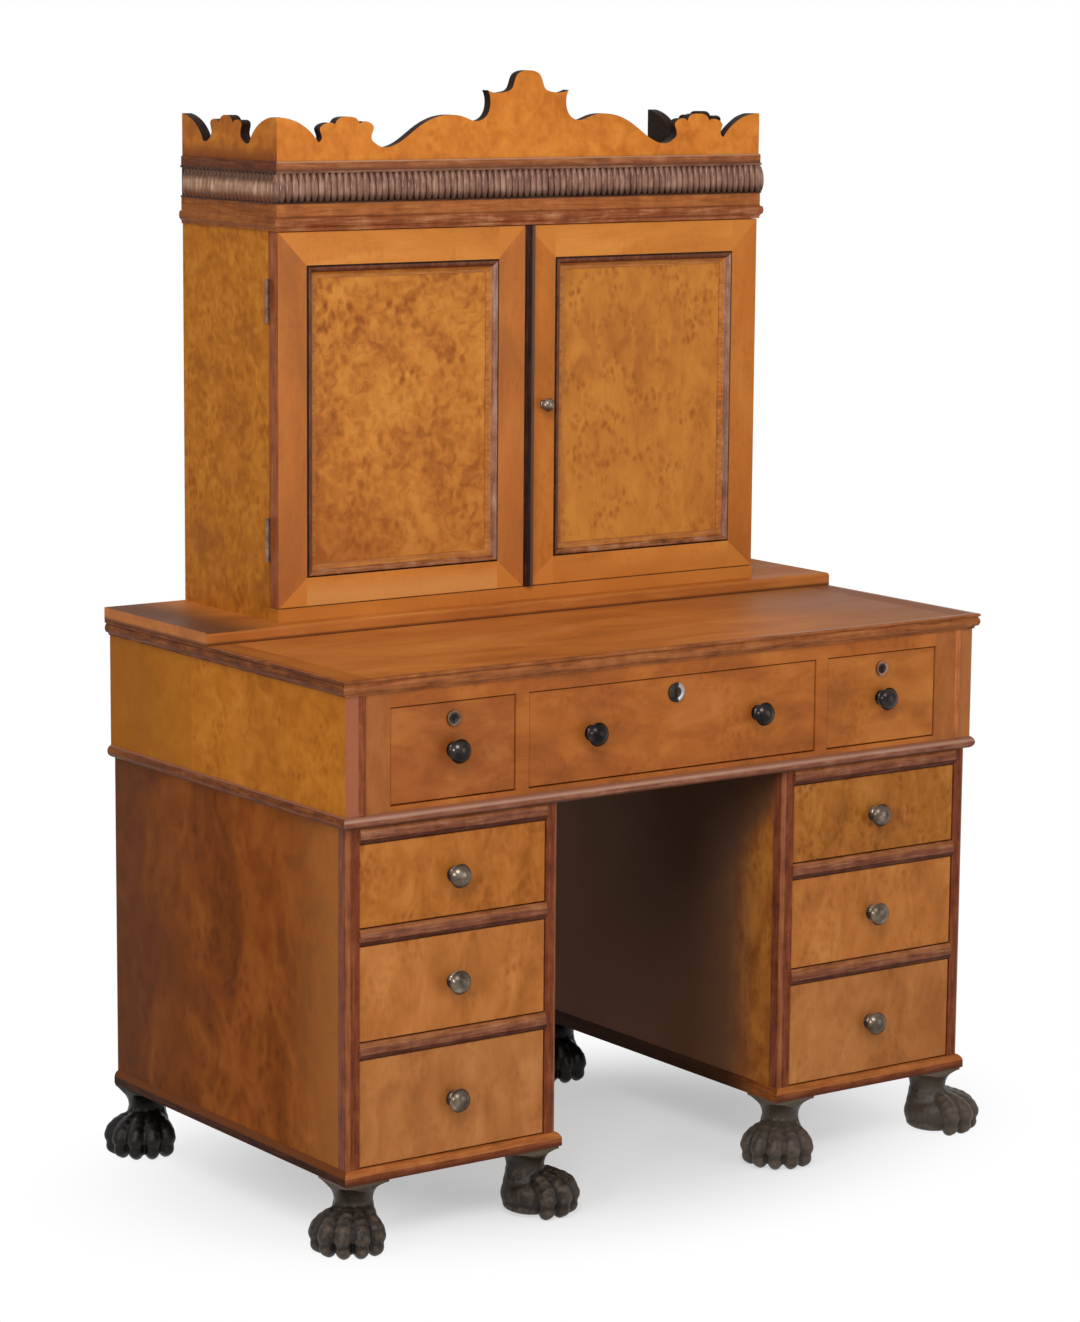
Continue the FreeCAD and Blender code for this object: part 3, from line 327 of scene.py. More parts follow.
# Painted shadow: the platform's top is painted dark towards its left end.
platform_board = polished_veneer(
    "maple_platform", "#9C5826", "#B86E30", "#C67E3C", "x", figure_mm=70, cloud_mm=160, flecks=0.12,
    fibres=0.18, specular=0.04, roughness=0.5,
    tints_and_painted_light=((ALONG, platform_low.x + 0.13, platform_low.x + 0.03, "#5A3A28", 0.9),))
# Painted shadow: a dark line is painted along the foot of the platform's edge, where it meets the top.
platform_edge = polished_veneer("maple_platform_edge", "#98541F", "#AE662C", "#BC7436", "x", figure_mm=50,
                                flecks=0.12, fibres=0.18,
                                tints_and_painted_light=((UP, platform_low.z + 6 * MM, platform_low.z + MM, "#48240F", 0.85),))

# Mouldings

# Painted light and shade: the rails' upward faces take a lighter copy of the rail finish and their downward
# faces a darker copy.
rail_ridge = stained_moulding("stained_rail_ridge", "#5A2E18", "#78442C", "#96664A", "x", specular=0.12)
rail_painted_lit_top = stained_moulding("stained_rail_painted_lit_top", "#6E3C1C", "#8A5230", "#A46C46", "x", specular=0.1)
rail_painted_shaded_underside = stained_moulding("stained_rail_painted_shaded_underside", "#38190D", "#50291A", "#6A422E", "x", specular=0.06)
bead_low, bead_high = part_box("frieze_bead")
bead_middle = (bead_low.z + bead_high.z) / 2
# Painted highlight and shade: the frieze bead has a pale line painted just above its middle, dark below it
# and red-brown above.
frieze_bead_painted_light = stained_moulding("frieze_bead_painted_highlight_and_shade", "#6A3A24", "#834E36", "#9C6C52", "x", specular=0.12,
                               tints_and_painted_light=((UP, bead_middle - 3 * MM, bead_middle - 7 * MM, "#4A2818", 0.7),
                                      (UP, bead_middle, bead_middle + 2.5 * MM, "#B08C78", 0.6),
                                      (UP, bead_middle + 3.5 * MM, bead_middle + 6.5 * MM, "#7E462A", 0.8)))
edge_moulding = stained_moulding("stained_top_edge", "#6A3615", "#8E4F25", "#A8683A", "x", specular=0.12)
base_low, base_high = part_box("pedestal_bases")
base_wood = stained_moulding("stained_base", "#5A2812", "#783C1E", "#925434", "x", specular=0.1,
                             tints_and_painted_light=((UP, base_low.z + 9 * MM, base_low.z + MM, "#46200F", 0.8),))
base_shoulder = stained_moulding("stained_base_shoulder", "#80461F", "#9A5828", "#AE6C38", "x", specular=0.08)
# Painted shade: the bases' outer sides are a near-black copy of the base, lighter only along their top, and
# the bases inside the kneehole darken to near black towards the rear.
base_side_painted_shade = stained_moulding("stained_base_side_painted_shade", "#220E05", "#381A0B", "#502C18", "y", specular=0.03,
                             tints_and_painted_light=((UP, base_low.z + 9 * MM, base_low.z + 12 * MM, "#6A3818", 0.85),))
base_inner = stained_moulding("stained_base_inner", "#60300F", "#80461E", "#9A5C30", "y", specular=0.02,
                              tints_and_painted_light=((INWARDS, front_edge + 0.01, front_edge + 0.12, "#1C1009", 0.9),))
upright_moulding = stained_moulding("stained_post", "#50200C", "#6F3318", "#844A2A", "z", specular=0.12)
# Painted highlight: the posts' rounded edges take a lighter, shinier copy of the post finish.
post_edge_painted_highlight = stained_moulding("stained_post_edge_painted_highlight", "#683418", "#824828", "#965A36", "z", specular=0.2)
corner_wood = stained_moulding("stained_corner_bead", "#622C16", "#7C3E22", "#96583A", "z", specular=0.1)
rubbed_corner = stained_moulding("rubbed_corner_bead", "#8A4A24", "#A45E30", "#B87646", "z", specular=0.1)
door_edge = stained_moulding("stained_door_edge", "#6A3216", "#86451F", "#9C5A30", "z", specular=0.1)
door_bead = stained_moulding("stained_door_bead", "#48240F", "#643520", "#7C4C36", "z", specular=0.12)
# Painted light: the door moulding's bottom member, with dark patches, and its right member take lighter
# copies of the bead, the right one a painted highlight.
bottom_bead_painted_light = stained_moulding("patched_door_bead_painted_light", "#4A2816", "#92562C", "#A8826C", "x", specular=0.15)
right_bead_painted_highlight = stained_moulding("door_bead_painted_highlight", "#6E4430", "#8E6450", "#AA8674", "z", roughness=0.26,
                             specular=0.2)
side_moulding = stained_moulding("stained_side_moulding", "#44200A", "#663412", "#885228", "y", specular=0.05)
reed_low, reed_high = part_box("reeded_moulding")
reed_middle = (reed_low.z + reed_high.z) / 2
cornice_step = reed_low.z - 18.6 * MM     # where the cornice's flat meets its bead
cornice_wood = stained_moulding("stained_cornice", "#6C3616", "#8A4A26", "#B07850", "x", specular=0.12)
# Painted shade: the cornice's flat is painted dark just above the step down to its bead.
cornice_flat = stained_moulding("stained_cornice_flat", "#7C4218", "#985628", "#B06C38", "x", specular=0.1,
                                tints_and_painted_light=((UP, cornice_step + 3 * MM, cornice_step, "#5A2C12", 0.7),))
cornice_end = stained_moulding("stained_cornice_end", "#5C2C0C", "#804416", "#9A5C26", "y", specular=0.06)
# Painted highlight and shade: the gallery's foot has a pale line painted along its top edge and darkens
# towards the reeds below; its ends are a darker copy.
gallery_foot = stained_moulding(
    "stained_gallery_foot", "#6E3A18", "#8E5028", "#AC7048", "x", specular=0.15,
    tints_and_painted_light=((UP, gallery_low.z + 10.5 * MM, gallery_low.z + 12 * MM, "#B98A6C", 0.7),
           (UP, gallery_low.z + 7 * MM, gallery_low.z, "#5A2E18", 0.8)))
gallery_foot_end_painted_shade = stained_moulding("stained_gallery_foot_end_painted_shade", "#3E1C0A", "#5E2E14", "#7A4624", "y",
                                    specular=0.06)
# Painted shade: the reeds are painted dark towards their lower edge, under the bulge, and a little darker
# towards the top.
reed_wood = stained_moulding(
    "stained_reeds", "#583626", "#7E5644", "#A8846E", "z", roughness=0.22, specular=0.3,
    tints_and_painted_light=((UP, reed_middle + 3 * MM, reed_high.z, "#6A4632", 0.5),
           (UP, reed_middle - 5 * MM, reed_low.z + 4 * MM, "#361C10", 0.85)))
# Painted highlight: the reeds on the ends take a paler copy with a pale band at mid height, dark above and
# below it.
end_reeds_painted_highlight = stained_moulding("reeds_at_ends_painted_highlight", "#6C4830", "#98725A", "#C4A288", "z", roughness=0.3,
                              specular=0.15,
                              tints_and_painted_light=((UP, reed_middle + MM, reed_high.z - 10 * MM, "#40200F", 0.9),
                                     (UP, reed_middle - 3 * MM, reed_low.z + 6 * MM, "#5A2C14", 0.9)))
# Painted shade: the ground behind the reeds, seen in the grooves, is near black.
reed_ground_painted_shade = stained_moulding("stained_reed_ground_painted_shade", "#2A180E", "#40261A", "#5C3E2C", "x", specular=0.06)
reed_lip = stained_moulding("stained_reed_lip", "#583424", "#78503C", "#987058", "x", specular=0.1)
hollow_wood = stained_moulding("moulding_hollow", "#8A4E1C", "#A8662A", "#BE7C38", "x", specular=0.2)
# Near black, for cut edges and for painted shade: the gallery's inner faces, the door mouldings' lips and the
# keyholes.
dark_edge_and_painted_shade = stained_moulding("dark_cut_edge_and_painted_shade", "#120A06", "#20120A", "#3C2614", "", roughness=0.6,
                             specular=0.1)
meeting_low, meeting_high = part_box("door_meeting_bead")
meeting_middle = (meeting_low.x + meeting_high.x) / 2
# Painted highlight: the bead's right half is painted a pale greyish brown.
meeting_wood = stained_moulding(
    "ebonised_bead", "#1C0E08", "#2E180F", "#482A1E", "z", specular=0.06,
    tints_and_painted_light=((ALONG, meeting_middle - 2 * MM, meeting_middle + 2 * MM, "#6C5444", 0.75),))

# Plain boards inside and behind

pine = polished_veneer("planed_pine", "#8A6238", "#A87D4C", "#BC9260", "z", figure_mm=16, curl=0.2,
                       cloud_mm=50, stretch=0.05, fibres=0.35, flecks=0.05, roughness=0.62)
shelf_pine = polished_veneer("planed_pine_shelf", "#8A6238", "#A87D4C", "#BC9260", "x", figure_mm=16,
                             curl=0.2, cloud_mm=50, stretch=0.05, fibres=0.35, flecks=0.05, roughness=0.62)
# Painted shade: the frieze's underside over the kneehole is painted dark brown.
kneehole_underside_painted_shade = polished_veneer("underside_painted_shade", "#3A2212", "#4C2E1A", "#5E3C22", "x", flecks=0.05,
                                roughness=0.6)
drawer_oak = polished_veneer("planed_oak", "#93703F", "#B08C57", "#C4A26C", "y", figure_mm=10, curl=0.2,
                             cloud_mm=40, stretch=0.05, fibres=0.4, flecks=0.08, roughness=0.6)
cross_oak = polished_veneer("planed_oak_across", "#93703F", "#B08C57", "#C4A26C", "x", figure_mm=10, curl=0.2,
                            cloud_mm=40, stretch=0.05, fibres=0.4, flecks=0.08, roughness=0.6)
end_oak = polished_veneer("oak_end_grain", "#6A4A24", "#866338", "#9C7A4A", "x", figure_mm=8, cloud_mm=30,
                          fibres=0.3, flecks=0.1, roughness=0.65)

# Metal and bronzed carving

knob_bronze = patinated_metal("knob_bronze", "#352A20", "#5E5042", "#928474", roughness=0.24, metallic=0.65)
shaded_bronze = patinated_metal("shaded_knob_neck", "#140C07", "#26180F", "#3E2C1E", roughness=0.5,
                                metallic=0.4)
# Painted reflection: this near-black bronze stands for the dark surroundings that the frieze knobs' polished
# metal reflects.
dark_bronze = patinated_metal("frieze_knob_bronze", "#161312", "#262221", "#423C38", roughness=0.2)
aged_brass = patinated_metal("aged_brass", "#34261A", "#574434", "#7A6450")
hinge_brass = patinated_metal("dulled_hinge_brass", "#4A342A", "#6E5244", "#8E7262", roughness=0.5,
                              metallic=0.4)
dull_copper = patinated_metal("dull_copper", "#5C3A28", "#7E5842", "#9E7C66", roughness=0.4)
# Painted highlight: bright steel for the right half of the centre keyhole plate.
steel_painted_highlight = patinated_metal("steel_painted_highlight", "#6A6866", "#8E8A88", "#B8B2AE", roughness=0.18,
                                 metallic=1.0)
# The feet are painted lighter towards the right, painted light, and near black at the rear, painted shade
foot_painted_light_and_shade = ((ALONG, -0.1, 0.3, "#6E6054", 0.25), (INWARDS, 0.1, 0.25, "#070504", 0.92))
paw_paint = bronzed_carving("bronzed_paw", "#0B0806", "#2C231C", "#67584A", foot_painted_light_and_shade)
neck_paint = bronzed_carving("rubbed_bronzed_neck", "#18130D", "#342B21", "#584A39", foot_painted_light_and_shade)


# CAD nodes

def paint(name, default, *rules):
    """Gives a CAD node its finishes: each face takes the first rule whose test its middle and normal pass."""
    mesh = nodes[name].data
    mesh.materials.clear()
    for material in [default] + [material for material, test in rules]:
        mesh.materials.append(material)
    for face in mesh.polygons:
        found = (i + 1 for i, rule in enumerate(rules) if rule[1](face.center, face.normal))
        face.material_index = next(found, 0)


def faces_side(c, n):
    """Whether a face looks left or right."""
    return abs(n.x) > 0.7


def faces_end(c, n):
    """Whether a face looks forwards or back."""
    return abs(n.y) > 0.7


frieze_low, frieze_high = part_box("frieze_carcase")
cabinet_low, cabinet_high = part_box("cabinet_carcase")
end_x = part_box("pedestal_carcases")[1].x
inner_x = min(abs(v.co.x) for v in nodes["pedestal_carcases"].data.vertices)

paint("pedestal_carcases", pine,
      (pedestal_flame, lambda c, n: faces_side(c, n) and abs(abs(c.x) - end_x) < MM),
      (kneehole_side, lambda c, n: faces_side(c, n) and abs(abs(c.x) - inner_x) < MM))
paint("frieze_carcase", pine,
      (frieze_end_burr, lambda c, n: faces_side(c, n) and abs(c.x) > frieze_high.x - MM),
      (kneehole_underside_painted_shade, lambda c, n: n.z < -0.7 and c.z < frieze_low.z + MM))
paint("cabinet_carcase", pine,
      (side_burr, lambda c, n: faces_side(c, n) and abs(c.x) > cabinet_high.x - MM),
      (right_rail, lambda c, n: n.y < -0.7 and c.y < cabinet_low.y + MM),
      (back_maple, lambda c, n: n.y < -0.7),
      (shelf_pine, lambda c, n: abs(n.z) > 0.7))
veneer_foot = gallery_low.z + 13.5 * MM     # the gallery's veneer begins over its foot moulding
# Painted shade: every gallery face not named below, its inner faces and top board among them, is near black.
paint("gallery", dark_edge_and_painted_shade,
      (gallery_burr, lambda c, n: c.z > veneer_foot and n.y < -0.9 and c.y < gallery_low.y + 6 * MM),
      (gallery_end_burr_painted_shade,
       lambda c, n: c.z > veneer_foot and abs(c.x) > gallery_high.x - 4 * MM and abs(n.x) > 0.98),
      (gallery_foot, lambda c, n: c.z < veneer_foot and n.y < -0.9),
      (gallery_foot_end_painted_shade, lambda c, n: c.z < veneer_foot and abs(n.x) > 0.9))


def from_edge(c, low, high):
    """How far a place on a door lies inside the edge of a box, seen from the front."""
    return min(c.x - low.x, high.x - c.x, c.z - low.z, high.z - c.z)


def paint_door(side, burr, rail, *stile_tones):
    """Paints a door: its mitred frame, its panel, the zones of its panel moulding, with a painted shadow line
    at its lip and painted light on its right and bottom members, and its hinge leaves.
    """
    lip, bead = 2.5 * MM, 10 * MM     # the moulding's dark lip and its bead end this far inside its edge
    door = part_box(f"{side}_door_frame")
    low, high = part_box(f"{side}_door_moulding")
    stiles = [mitred_stile(f"maple_{side}_door_{edge}_stile", *stile_tones, door, (low, high), way)
              for edge, way in (("left", 1), ("right", -1))]
    paint(f"{side}_door_frame", rail,
          (door_edge, lambda c, n: abs(n.x) > 0.7),
          (stiles[0], lambda c, n: c.x < low.x),
          (stiles[1], lambda c, n: c.x > high.x))
    paint(f"{side}_door_panel", burr)
    paint(f"{side}_door_moulding", door_bead,
          # painted shadow: the lip round the moulding's outer edge is near black
          (dark_edge_and_painted_shade, lambda c, n: from_edge(c, low, high) < lip),
          (hollow_wood, lambda c, n: from_edge(c, low, high) > bead),
          (right_bead_painted_highlight, lambda c, n: c.x > high.x - bead),
          (bottom_bead_painted_light, lambda c, n: c.z < low.z + bead))
    paint(f"{side}_door_hinge_leaves", hinge_brass)


knob_head = 12 * MM     # depth of a knob in front of its shaded neck
paint_door("left", left_burr, left_rail, "#9E5C2A", "#B3692F", "#C0783A")
paint_door("right", right_burr, right_rail, "#A25C20", "#B76A28", "#C47A34")
for side in ("left", "right"):
    for level in ("top", "middle", "bottom"):
        veneer = drawer_veneer[f"{side}_top" if level == "top" else level]
        paint(f"{side}_{level}_drawer_front", cross_oak, (veneer, lambda c, n: n.y < -0.2))
        paint(f"{side}_{level}_drawer_box", drawer_oak, (cross_oak, faces_end))
        low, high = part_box(f"{side}_{level}_drawer_knob")
        paint(f"{side}_{level}_drawer_knob", knob_bronze,
              (shaded_bronze, lambda c, n: c.y > low.y + knob_head and c.z < (low.z + high.z) / 2 + 2 * MM))
for place in ("left", "centre", "right"):
    paint(f"frieze_{place}_drawer_front", cross_oak, (frieze_veneer[place], lambda c, n: n.y < -0.2))
    paint(f"frieze_{place}_drawer_box", drawer_oak, (cross_oak, faces_end))
    paint(f"frieze_{place}_drawer_knob" + ("s" if place == "centre" else ""), dark_bronze)
    paint(f"frieze_{place}_drawer_lock", aged_brass)
    paint(f"frieze_{place}_drawer_bolt", aged_brass)
shoulder = base_high.z - 9 * MM
paint("pedestal_bases", base_wood,
      (base_inner, lambda c, n: abs(c.x) < inner_x + MM),
      (base_side_painted_shade, lambda c, n: abs(c.x) > end_x - MM),
      (base_shoulder, lambda c, n: c.z > shoulder))
paint("pedestal_posts", upright_moulding, (post_edge_painted_highlight, lambda c, n: 0.1 < abs(n.x) < 0.9 and n.y < -0.1))
paint("pedestal_rails", rail_ridge, (rail_painted_lit_top, lambda c, n: n.z > 0.25),
      (rail_painted_shaded_underside, lambda c, n: n.z < -0.25))
paint("drawer_runners", drawer_oak)
paint("frieze_bead", frieze_bead_painted_light, (side_moulding, faces_side))
face_low, face_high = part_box("frieze_face")
corner_bead = face_low.y + 2.9 * MM     # only the beads at the corners stand in front of this
stile_width = 40 * MM
paint("frieze_face", frieze_veneer["centre"],
      (frieze_end_burr, lambda c, n: abs(n.x) > 0.9 and abs(c.x) > face_high.x - MM),
      (corner_wood, lambda c, n: c.y < corner_bead and c.x < 0),
      (rubbed_corner, lambda c, n: c.y < corner_bead),
      (frieze_stile, lambda c, n: abs(c.x) > stile_line - stile_width))
cleat_width = 37 * MM
paint("writing_top", top_boards, (top_cleats, lambda c, n: abs(c.x) > top_high.x - cleat_width))
paint("top_edge_moulding", edge_moulding, (side_moulding, faces_side))
paint("platform", platform_edge, (platform_board, lambda c, n: n.z > 0.7))
paint("cornice", cornice_wood, (cornice_end, faces_side),
      (cornice_flat, lambda c, n: n.y < -0.7 and c.z > cornice_step))
paint("reeded_moulding", reed_wood)
paint("cabinet_hinge_leaves", hinge_brass)
paint("door_meeting_bead", meeting_wood)
paint("door_catch", knob_bronze)
paint("paw_feet", paw_paint)


# Modelling helpers

def pick(*pieces):
    """Selects these pieces alone, the first of them active."""
    bpy.ops.object.select_all(action="DESELECT")
    for piece in pieces:
        piece.select_set(True)
    bpy.context.view_layer.objects.active = pieces[0]


def join(name, pieces):
    """Several pieces as one object with its place in its mesh."""
    pick(*pieces)
    bpy.ops.object.join()
    piece = bpy.context.object
    piece.name = name
    bpy.ops.object.transform_apply(location=True, rotation=True, scale=True)
    return piece


def shape(piece, kind, **settings):
    """Adds a modifier to a piece and applies it."""
    pick(piece)
    modifier = piece.modifiers.new(kind.lower(), kind)
    for name, value in settings.items():
        setattr(modifier, name, value)
    bpy.ops.object.modifier_apply(modifier=modifier.name)


def copy_of(piece):
    """A copy with its own mesh."""
    pick(piece)
    bpy.ops.object.duplicate()
    return bpy.context.object


def select_faces(piece, test):
    """In edit mode, selects the faces whose middle and normal pass a test, and nothing else."""
    bpy.ops.object.mode_set(mode="EDIT")
    bpy.ops.mesh.select_mode(type="FACE")
    bpy.ops.mesh.select_all(action="DESELECT")
    bpy.ops.object.mode_set(mode="OBJECT")
    for face in piece.data.polygons:
        face.select = test(face.center, face.normal)
    bpy.ops.object.mode_set(mode="EDIT")


def cut(piece, place, normal, test=lambda c, n: True):
    """Cuts off what lies behind a plane, among the faces that pass a test, and closes the cut."""
    pick(piece)
    select_faces(piece, test)
    bpy.ops.mesh.bisect(plane_co=place, plane_no=normal, use_fill=True, clear_inner=True, threshold=1e-6)
    bpy.ops.object.mode_set(mode="OBJECT")


def finish_piece(piece, material, body, angle=40):
    """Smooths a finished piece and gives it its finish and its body."""
    pick(piece)
    bpy.ops.object.shade_smooth_by_angle(angle=math.radians(angle))
    if not piece.data.materials:
        piece.data.materials.append(material)
    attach(piece, body)


# Paw feet: rounded lumps fused into one skin, under a turned ankle

foot_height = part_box("paw_feet")[1].z
foot_inset = 30 * MM         # ankle axis behind each face of the pedestal
ankle_radius = 26 * MM
cavetto_reach = 22 * MM      # spread of the ankle under the pedestal
cavetto_height = 26 * MM
collar_height = 4 * MM
toe_ring = 20 * MM           # middle of the ring of toes, in front of the ankle
toe_reach = 46 * MM
toe_turns = (-64, -32, 0, 32, 64)
neck_trim = 33 * MM          # the cavetto is cut off square this far from the ankle's axis
neck_foot = 74 * MM          # the cut starts at this height
# Along a toe: share of its reach, then height and half width in mm
toe_path = ((0.28, 50, 12), (0.46, 48.5, 12.6), (0.63, 45.5, 13.2), (0.78, 41, 13.8), (0.9, 35.5, 14),
            (0.955, 29.5, 13.6), (0.92, 24, 11.8), (0.93, 18.5, 11.2), (0.945, 13.5, 11.4), (0.88, 10, 10.5))
# The pad and instep, in mm: place in front of the ankle, height, and half of the length, width and height
pad_lumps = ((-7, 26, 27, 29, 26), (6, 27, 36, 38, 28), (17, 30, 42, 43, 28), (5, 46, 34, 32, 19),
             (9, 11, 40, 38, 12), (-3, 40, 28, 28, 26), (0, 58, 27, 27, 18))
hair_locks = 11              # small locks of hair round the ankle
lock_ring = 24.5 * MM
lock_height = 58 * MM
lock_size = (3.5 * MM, 4.5 * MM, 15 * MM)


def lump(place, size, turn=(0, 0, 0)):
    """A rounded lump of the carving."""
    bpy.ops.mesh.primitive_uv_sphere_add(segments=28, ring_count=16, radius=1, location=place, scale=size,
                                         rotation=turn)
    return bpy.context.object


def carved_toe(turn):
    """A toe as one ridge from the ankle over the knuckle, drawn in above a narrower claw."""
    angle = math.radians(turn)
    tip = Vector((toe_ring + toe_reach * math.cos(angle), toe_reach * math.sin(angle), 0))
    out = math.atan2(tip.y, tip.x)
    return [lump(tip * share + Vector((0, 0, height * MM)), (width * MM, width * 0.95 * MM, width * MM),
                 (0, 0, out))
            for share, height, width in toe_path]


def ankle():
    """The turned ankle, drawn out step by step into the cavetto under the pedestal."""
    low = 40 * MM
    rim = foot_height - collar_height
    spring = rim - cavetto_height
    bpy.ops.mesh.primitive_cylinder_add(vertices=64, radius=ankle_radius, depth=spring - low,
                                        location=(0, 0, (spring + low) / 2))
    piece = bpy.context.object
    bpy.ops.object.transform_apply(location=True)
    select_faces(piece, lambda c, n: n.z > 0.9)
    steps = 8
    radius = ankle_radius
    for i in range(1, steps + 1):
        turn = math.pi / 2 * i / steps
        rise = cavetto_height * (math.sin(turn) - math.sin(turn - math.pi / 2 / steps))
        wider = ankle_radius + cavetto_reach * (1 - math.cos(turn))
        bpy.ops.mesh.extrude_region_move(TRANSFORM_OT_translate={"value": (0, 0, rise)})
        bpy.ops.transform.resize(value=(wider / radius, wider / radius, 1))
        radius = wider
    bpy.ops.mesh.extrude_region_move(TRANSFORM_OT_translate={"value": (0, 0, collar_height)})
    bpy.ops.object.mode_set(mode="OBJECT")
    return piece


def carved_paw():
    """One paw with its toes towards +X and its ankle on the Z axis."""
    lumps = [lump((x * MM, 0, z * MM), (long * MM, wide * MM, tall * MM))
             for x, z, long, wide, tall in pad_lumps]
    for turn in toe_turns:
        lumps += carved_toe(turn)
    for lock in range(hair_locks):
        turn = 2 * math.pi * (lock + 0.5) / hair_locks
        lumps.append(lump((lock_ring * math.cos(turn), lock_ring * math.sin(turn), lock_height),
                          lock_size, (0, math.radians(-8), turn)))
    paw = join("paw", lumps)
    shape(paw, "REMESH", mode="VOXEL", voxel_size=2.1 * MM)
    shape(paw, "SMOOTH", factor=0.5, iterations=5)
    paw.data.materials.append(paw_paint)
    neck = ankle()
    neck.data.materials.append(neck_paint)
    paw = join("paw", [paw, neck])
    cut(paw, (0, 0, 0.002 * MM), (0, 0, 1))     # a hair above the floor, so that rounding can't pass it
    return paw


def place_paws():
    """A paw at each corner of each pedestal: toes forwards and outwards, cavetto trimmed to the corner."""
    blank = carved_paw()
    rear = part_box("pedestal_carcases")[1].y
    paws = []
    for x, x_way in ((-end_x, -1), (-inner_x, 1), (inner_x, -1), (end_x, 1)):
        for y, y_way in ((front_edge, -1), (rear, 1)):
            paw = copy_of(blank)
            paw.rotation_euler.z = math.atan2(-1, x_way)
            axis = Vector((x - x_way * foot_inset, y - y_way * foot_inset, 0))
            paw.location = axis
            pick(paw)
            bpy.ops.object.transform_apply(location=True, rotation=True)
            for way in (Vector((x_way, 0, 0)), Vector((0, y_way, 0))):
                cut(paw, axis + way * neck_trim, -way, lambda c, n: c.z > neck_foot)
            paws.append(paw)
    bpy.data.objects.remove(blank)
    feet = join("carved_paw_feet", paws)
    finish_piece(feet, paw_paint, "root", angle=50)
    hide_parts("paw_feet")


# Reeded moulding: a strip with a row of reeds on its front and ends

reed_pitch = 10.4 * MM
reed_depth = 8.5 * MM
reed_tilt = math.radians(5)
strip_foot = 2.0 * MM        # fillet under the reeds
strip_head = 3.0 * MM        # fillet over the reeds


def reed_row(count, start, turn):
    """A row of reeds along X from a starting place, turned about it: each is a long bulge cut off square."""
    low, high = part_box("reeded_moulding")
    tall = high.z - low.z
    bpy.ops.mesh.primitive_uv_sphere_add(segments=12, ring_count=12, radius=1,
                                         scale=(reed_pitch * 0.6, reed_depth, tall * 0.5),
                                         rotation=(-reed_tilt, 0, 0))
    row = bpy.context.object
    bpy.ops.object.transform_apply(rotation=True, scale=True)
    cut(row, (0, 0, 0), (0, -1, 0))
    cut(row, (0, 0, tall / 2 - strip_head), (0, 0, -1))
    cut(row, (0, 0, strip_foot - tall / 2), (0, 0, 1))
    shape(row, "ARRAY", count=count, use_relative_offset=False, use_constant_offset=True,
          constant_offset_displace=(reed_pitch, 0, 0))
    row.rotation_euler.z = turn
    row.location = start
    return row


def reeded_strip():
    """The strip behind the reeds: three walls with a fillet drawn out along the top and bottom."""
    low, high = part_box("reeded_moulding")
    back = reed_depth - 0.4 * MM
    fillet = 2.5 * MM
    bpy.ops.mesh.primitive_cube_add(size=1, location=(0, (low.y + back + high.y) / 2, (low.z + high.z) / 2),
                                    scale=(high.x - low.x - 2 * back, high.y - low.y - back, high.z - low.z))
    strip = bpy.context.object
    bpy.ops.object.transform_apply(location=True, scale=True)
    select_faces(strip, lambda c, n: abs(n.z) > 0.9 or n.y > 0.9)
    bpy.ops.mesh.delete(type="FACE")
    for height in (low.z + strip_foot, high.z - strip_head):
        bpy.ops.mesh.select_all(action="SELECT")
        bpy.ops.mesh.bisect(plane_co=(0, 0, height), plane_no=(0, 0, 1))
    bpy.ops.object.mode_set(mode="OBJECT")
    select_faces(strip, lambda c, n: not low.z + strip_foot < c.z < high.z - strip_head)
    bpy.ops.mesh.extrude_region_shrink_fatten(
        TRANSFORM_OT_shrink_fatten={"value": fillet, "use_even_offset": True})
    bpy.ops.mesh.select_all(action="SELECT")
    bpy.ops.mesh.normals_make_consistent(inside=False)
    bpy.ops.object.mode_set(mode="OBJECT")
    return strip


def place_reeds():
    """The strip with its reeds and a reed on each front corner, in place of the plain moulding."""
    low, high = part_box("reeded_moulding")
    middle = (low.z + high.z) / 2
    seat = reed_depth - 0.2 * MM     # the reeds' flat backs lie this far in, just inside the strip
    width = high.x - low.x - 2 * seat
    count = round(width / reed_pitch)
    rows = [reed_row(count, (-(count - 1) * reed_pitch / 2, low.y + seat, middle), 0)]
    depth = high.y - low.y - seat
    count = round(depth / reed_pitch) - 1
    rows.append(reed_row(count, (low.x + seat, low.y + seat + (count - 0.4) * reed_pitch, middle),
                         -math.pi / 2))
    rows.append(reed_row(count, (high.x - seat, low.y + seat + 0.6 * reed_pitch, middle), math.pi / 2))
    for way in (-1, 1):
        rows.append(reed_row(1, (way * (high.x - seat - MM), low.y + seat + MM, middle), way * math.pi / 4))
    strip = reeded_strip()
    for material in (reed_ground_painted_shade, reed_lip):
        strip.data.materials.append(material)
    for face in strip.data.polygons:
        face.material_index = int(face.center.z > high.z - strip_head and face.normal.y < -0.5)
    for i, row in enumerate(rows):
        row.data.materials.append(end_reeds_painted_highlight if i in (1, 2) else reed_wood)
    reeds = join("reeds_on_strip", [strip] + rows)
    finish_piece(reeds, reed_wood, "root", angle=60)
    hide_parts("reeded_moulding")


# Keyhole plates on the frieze drawers

keyhole_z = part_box("frieze_centre_drawer_front")[1].z - 22 * MM
plate_depth = 2.6 * MM
dish_depth = 1.1 * MM


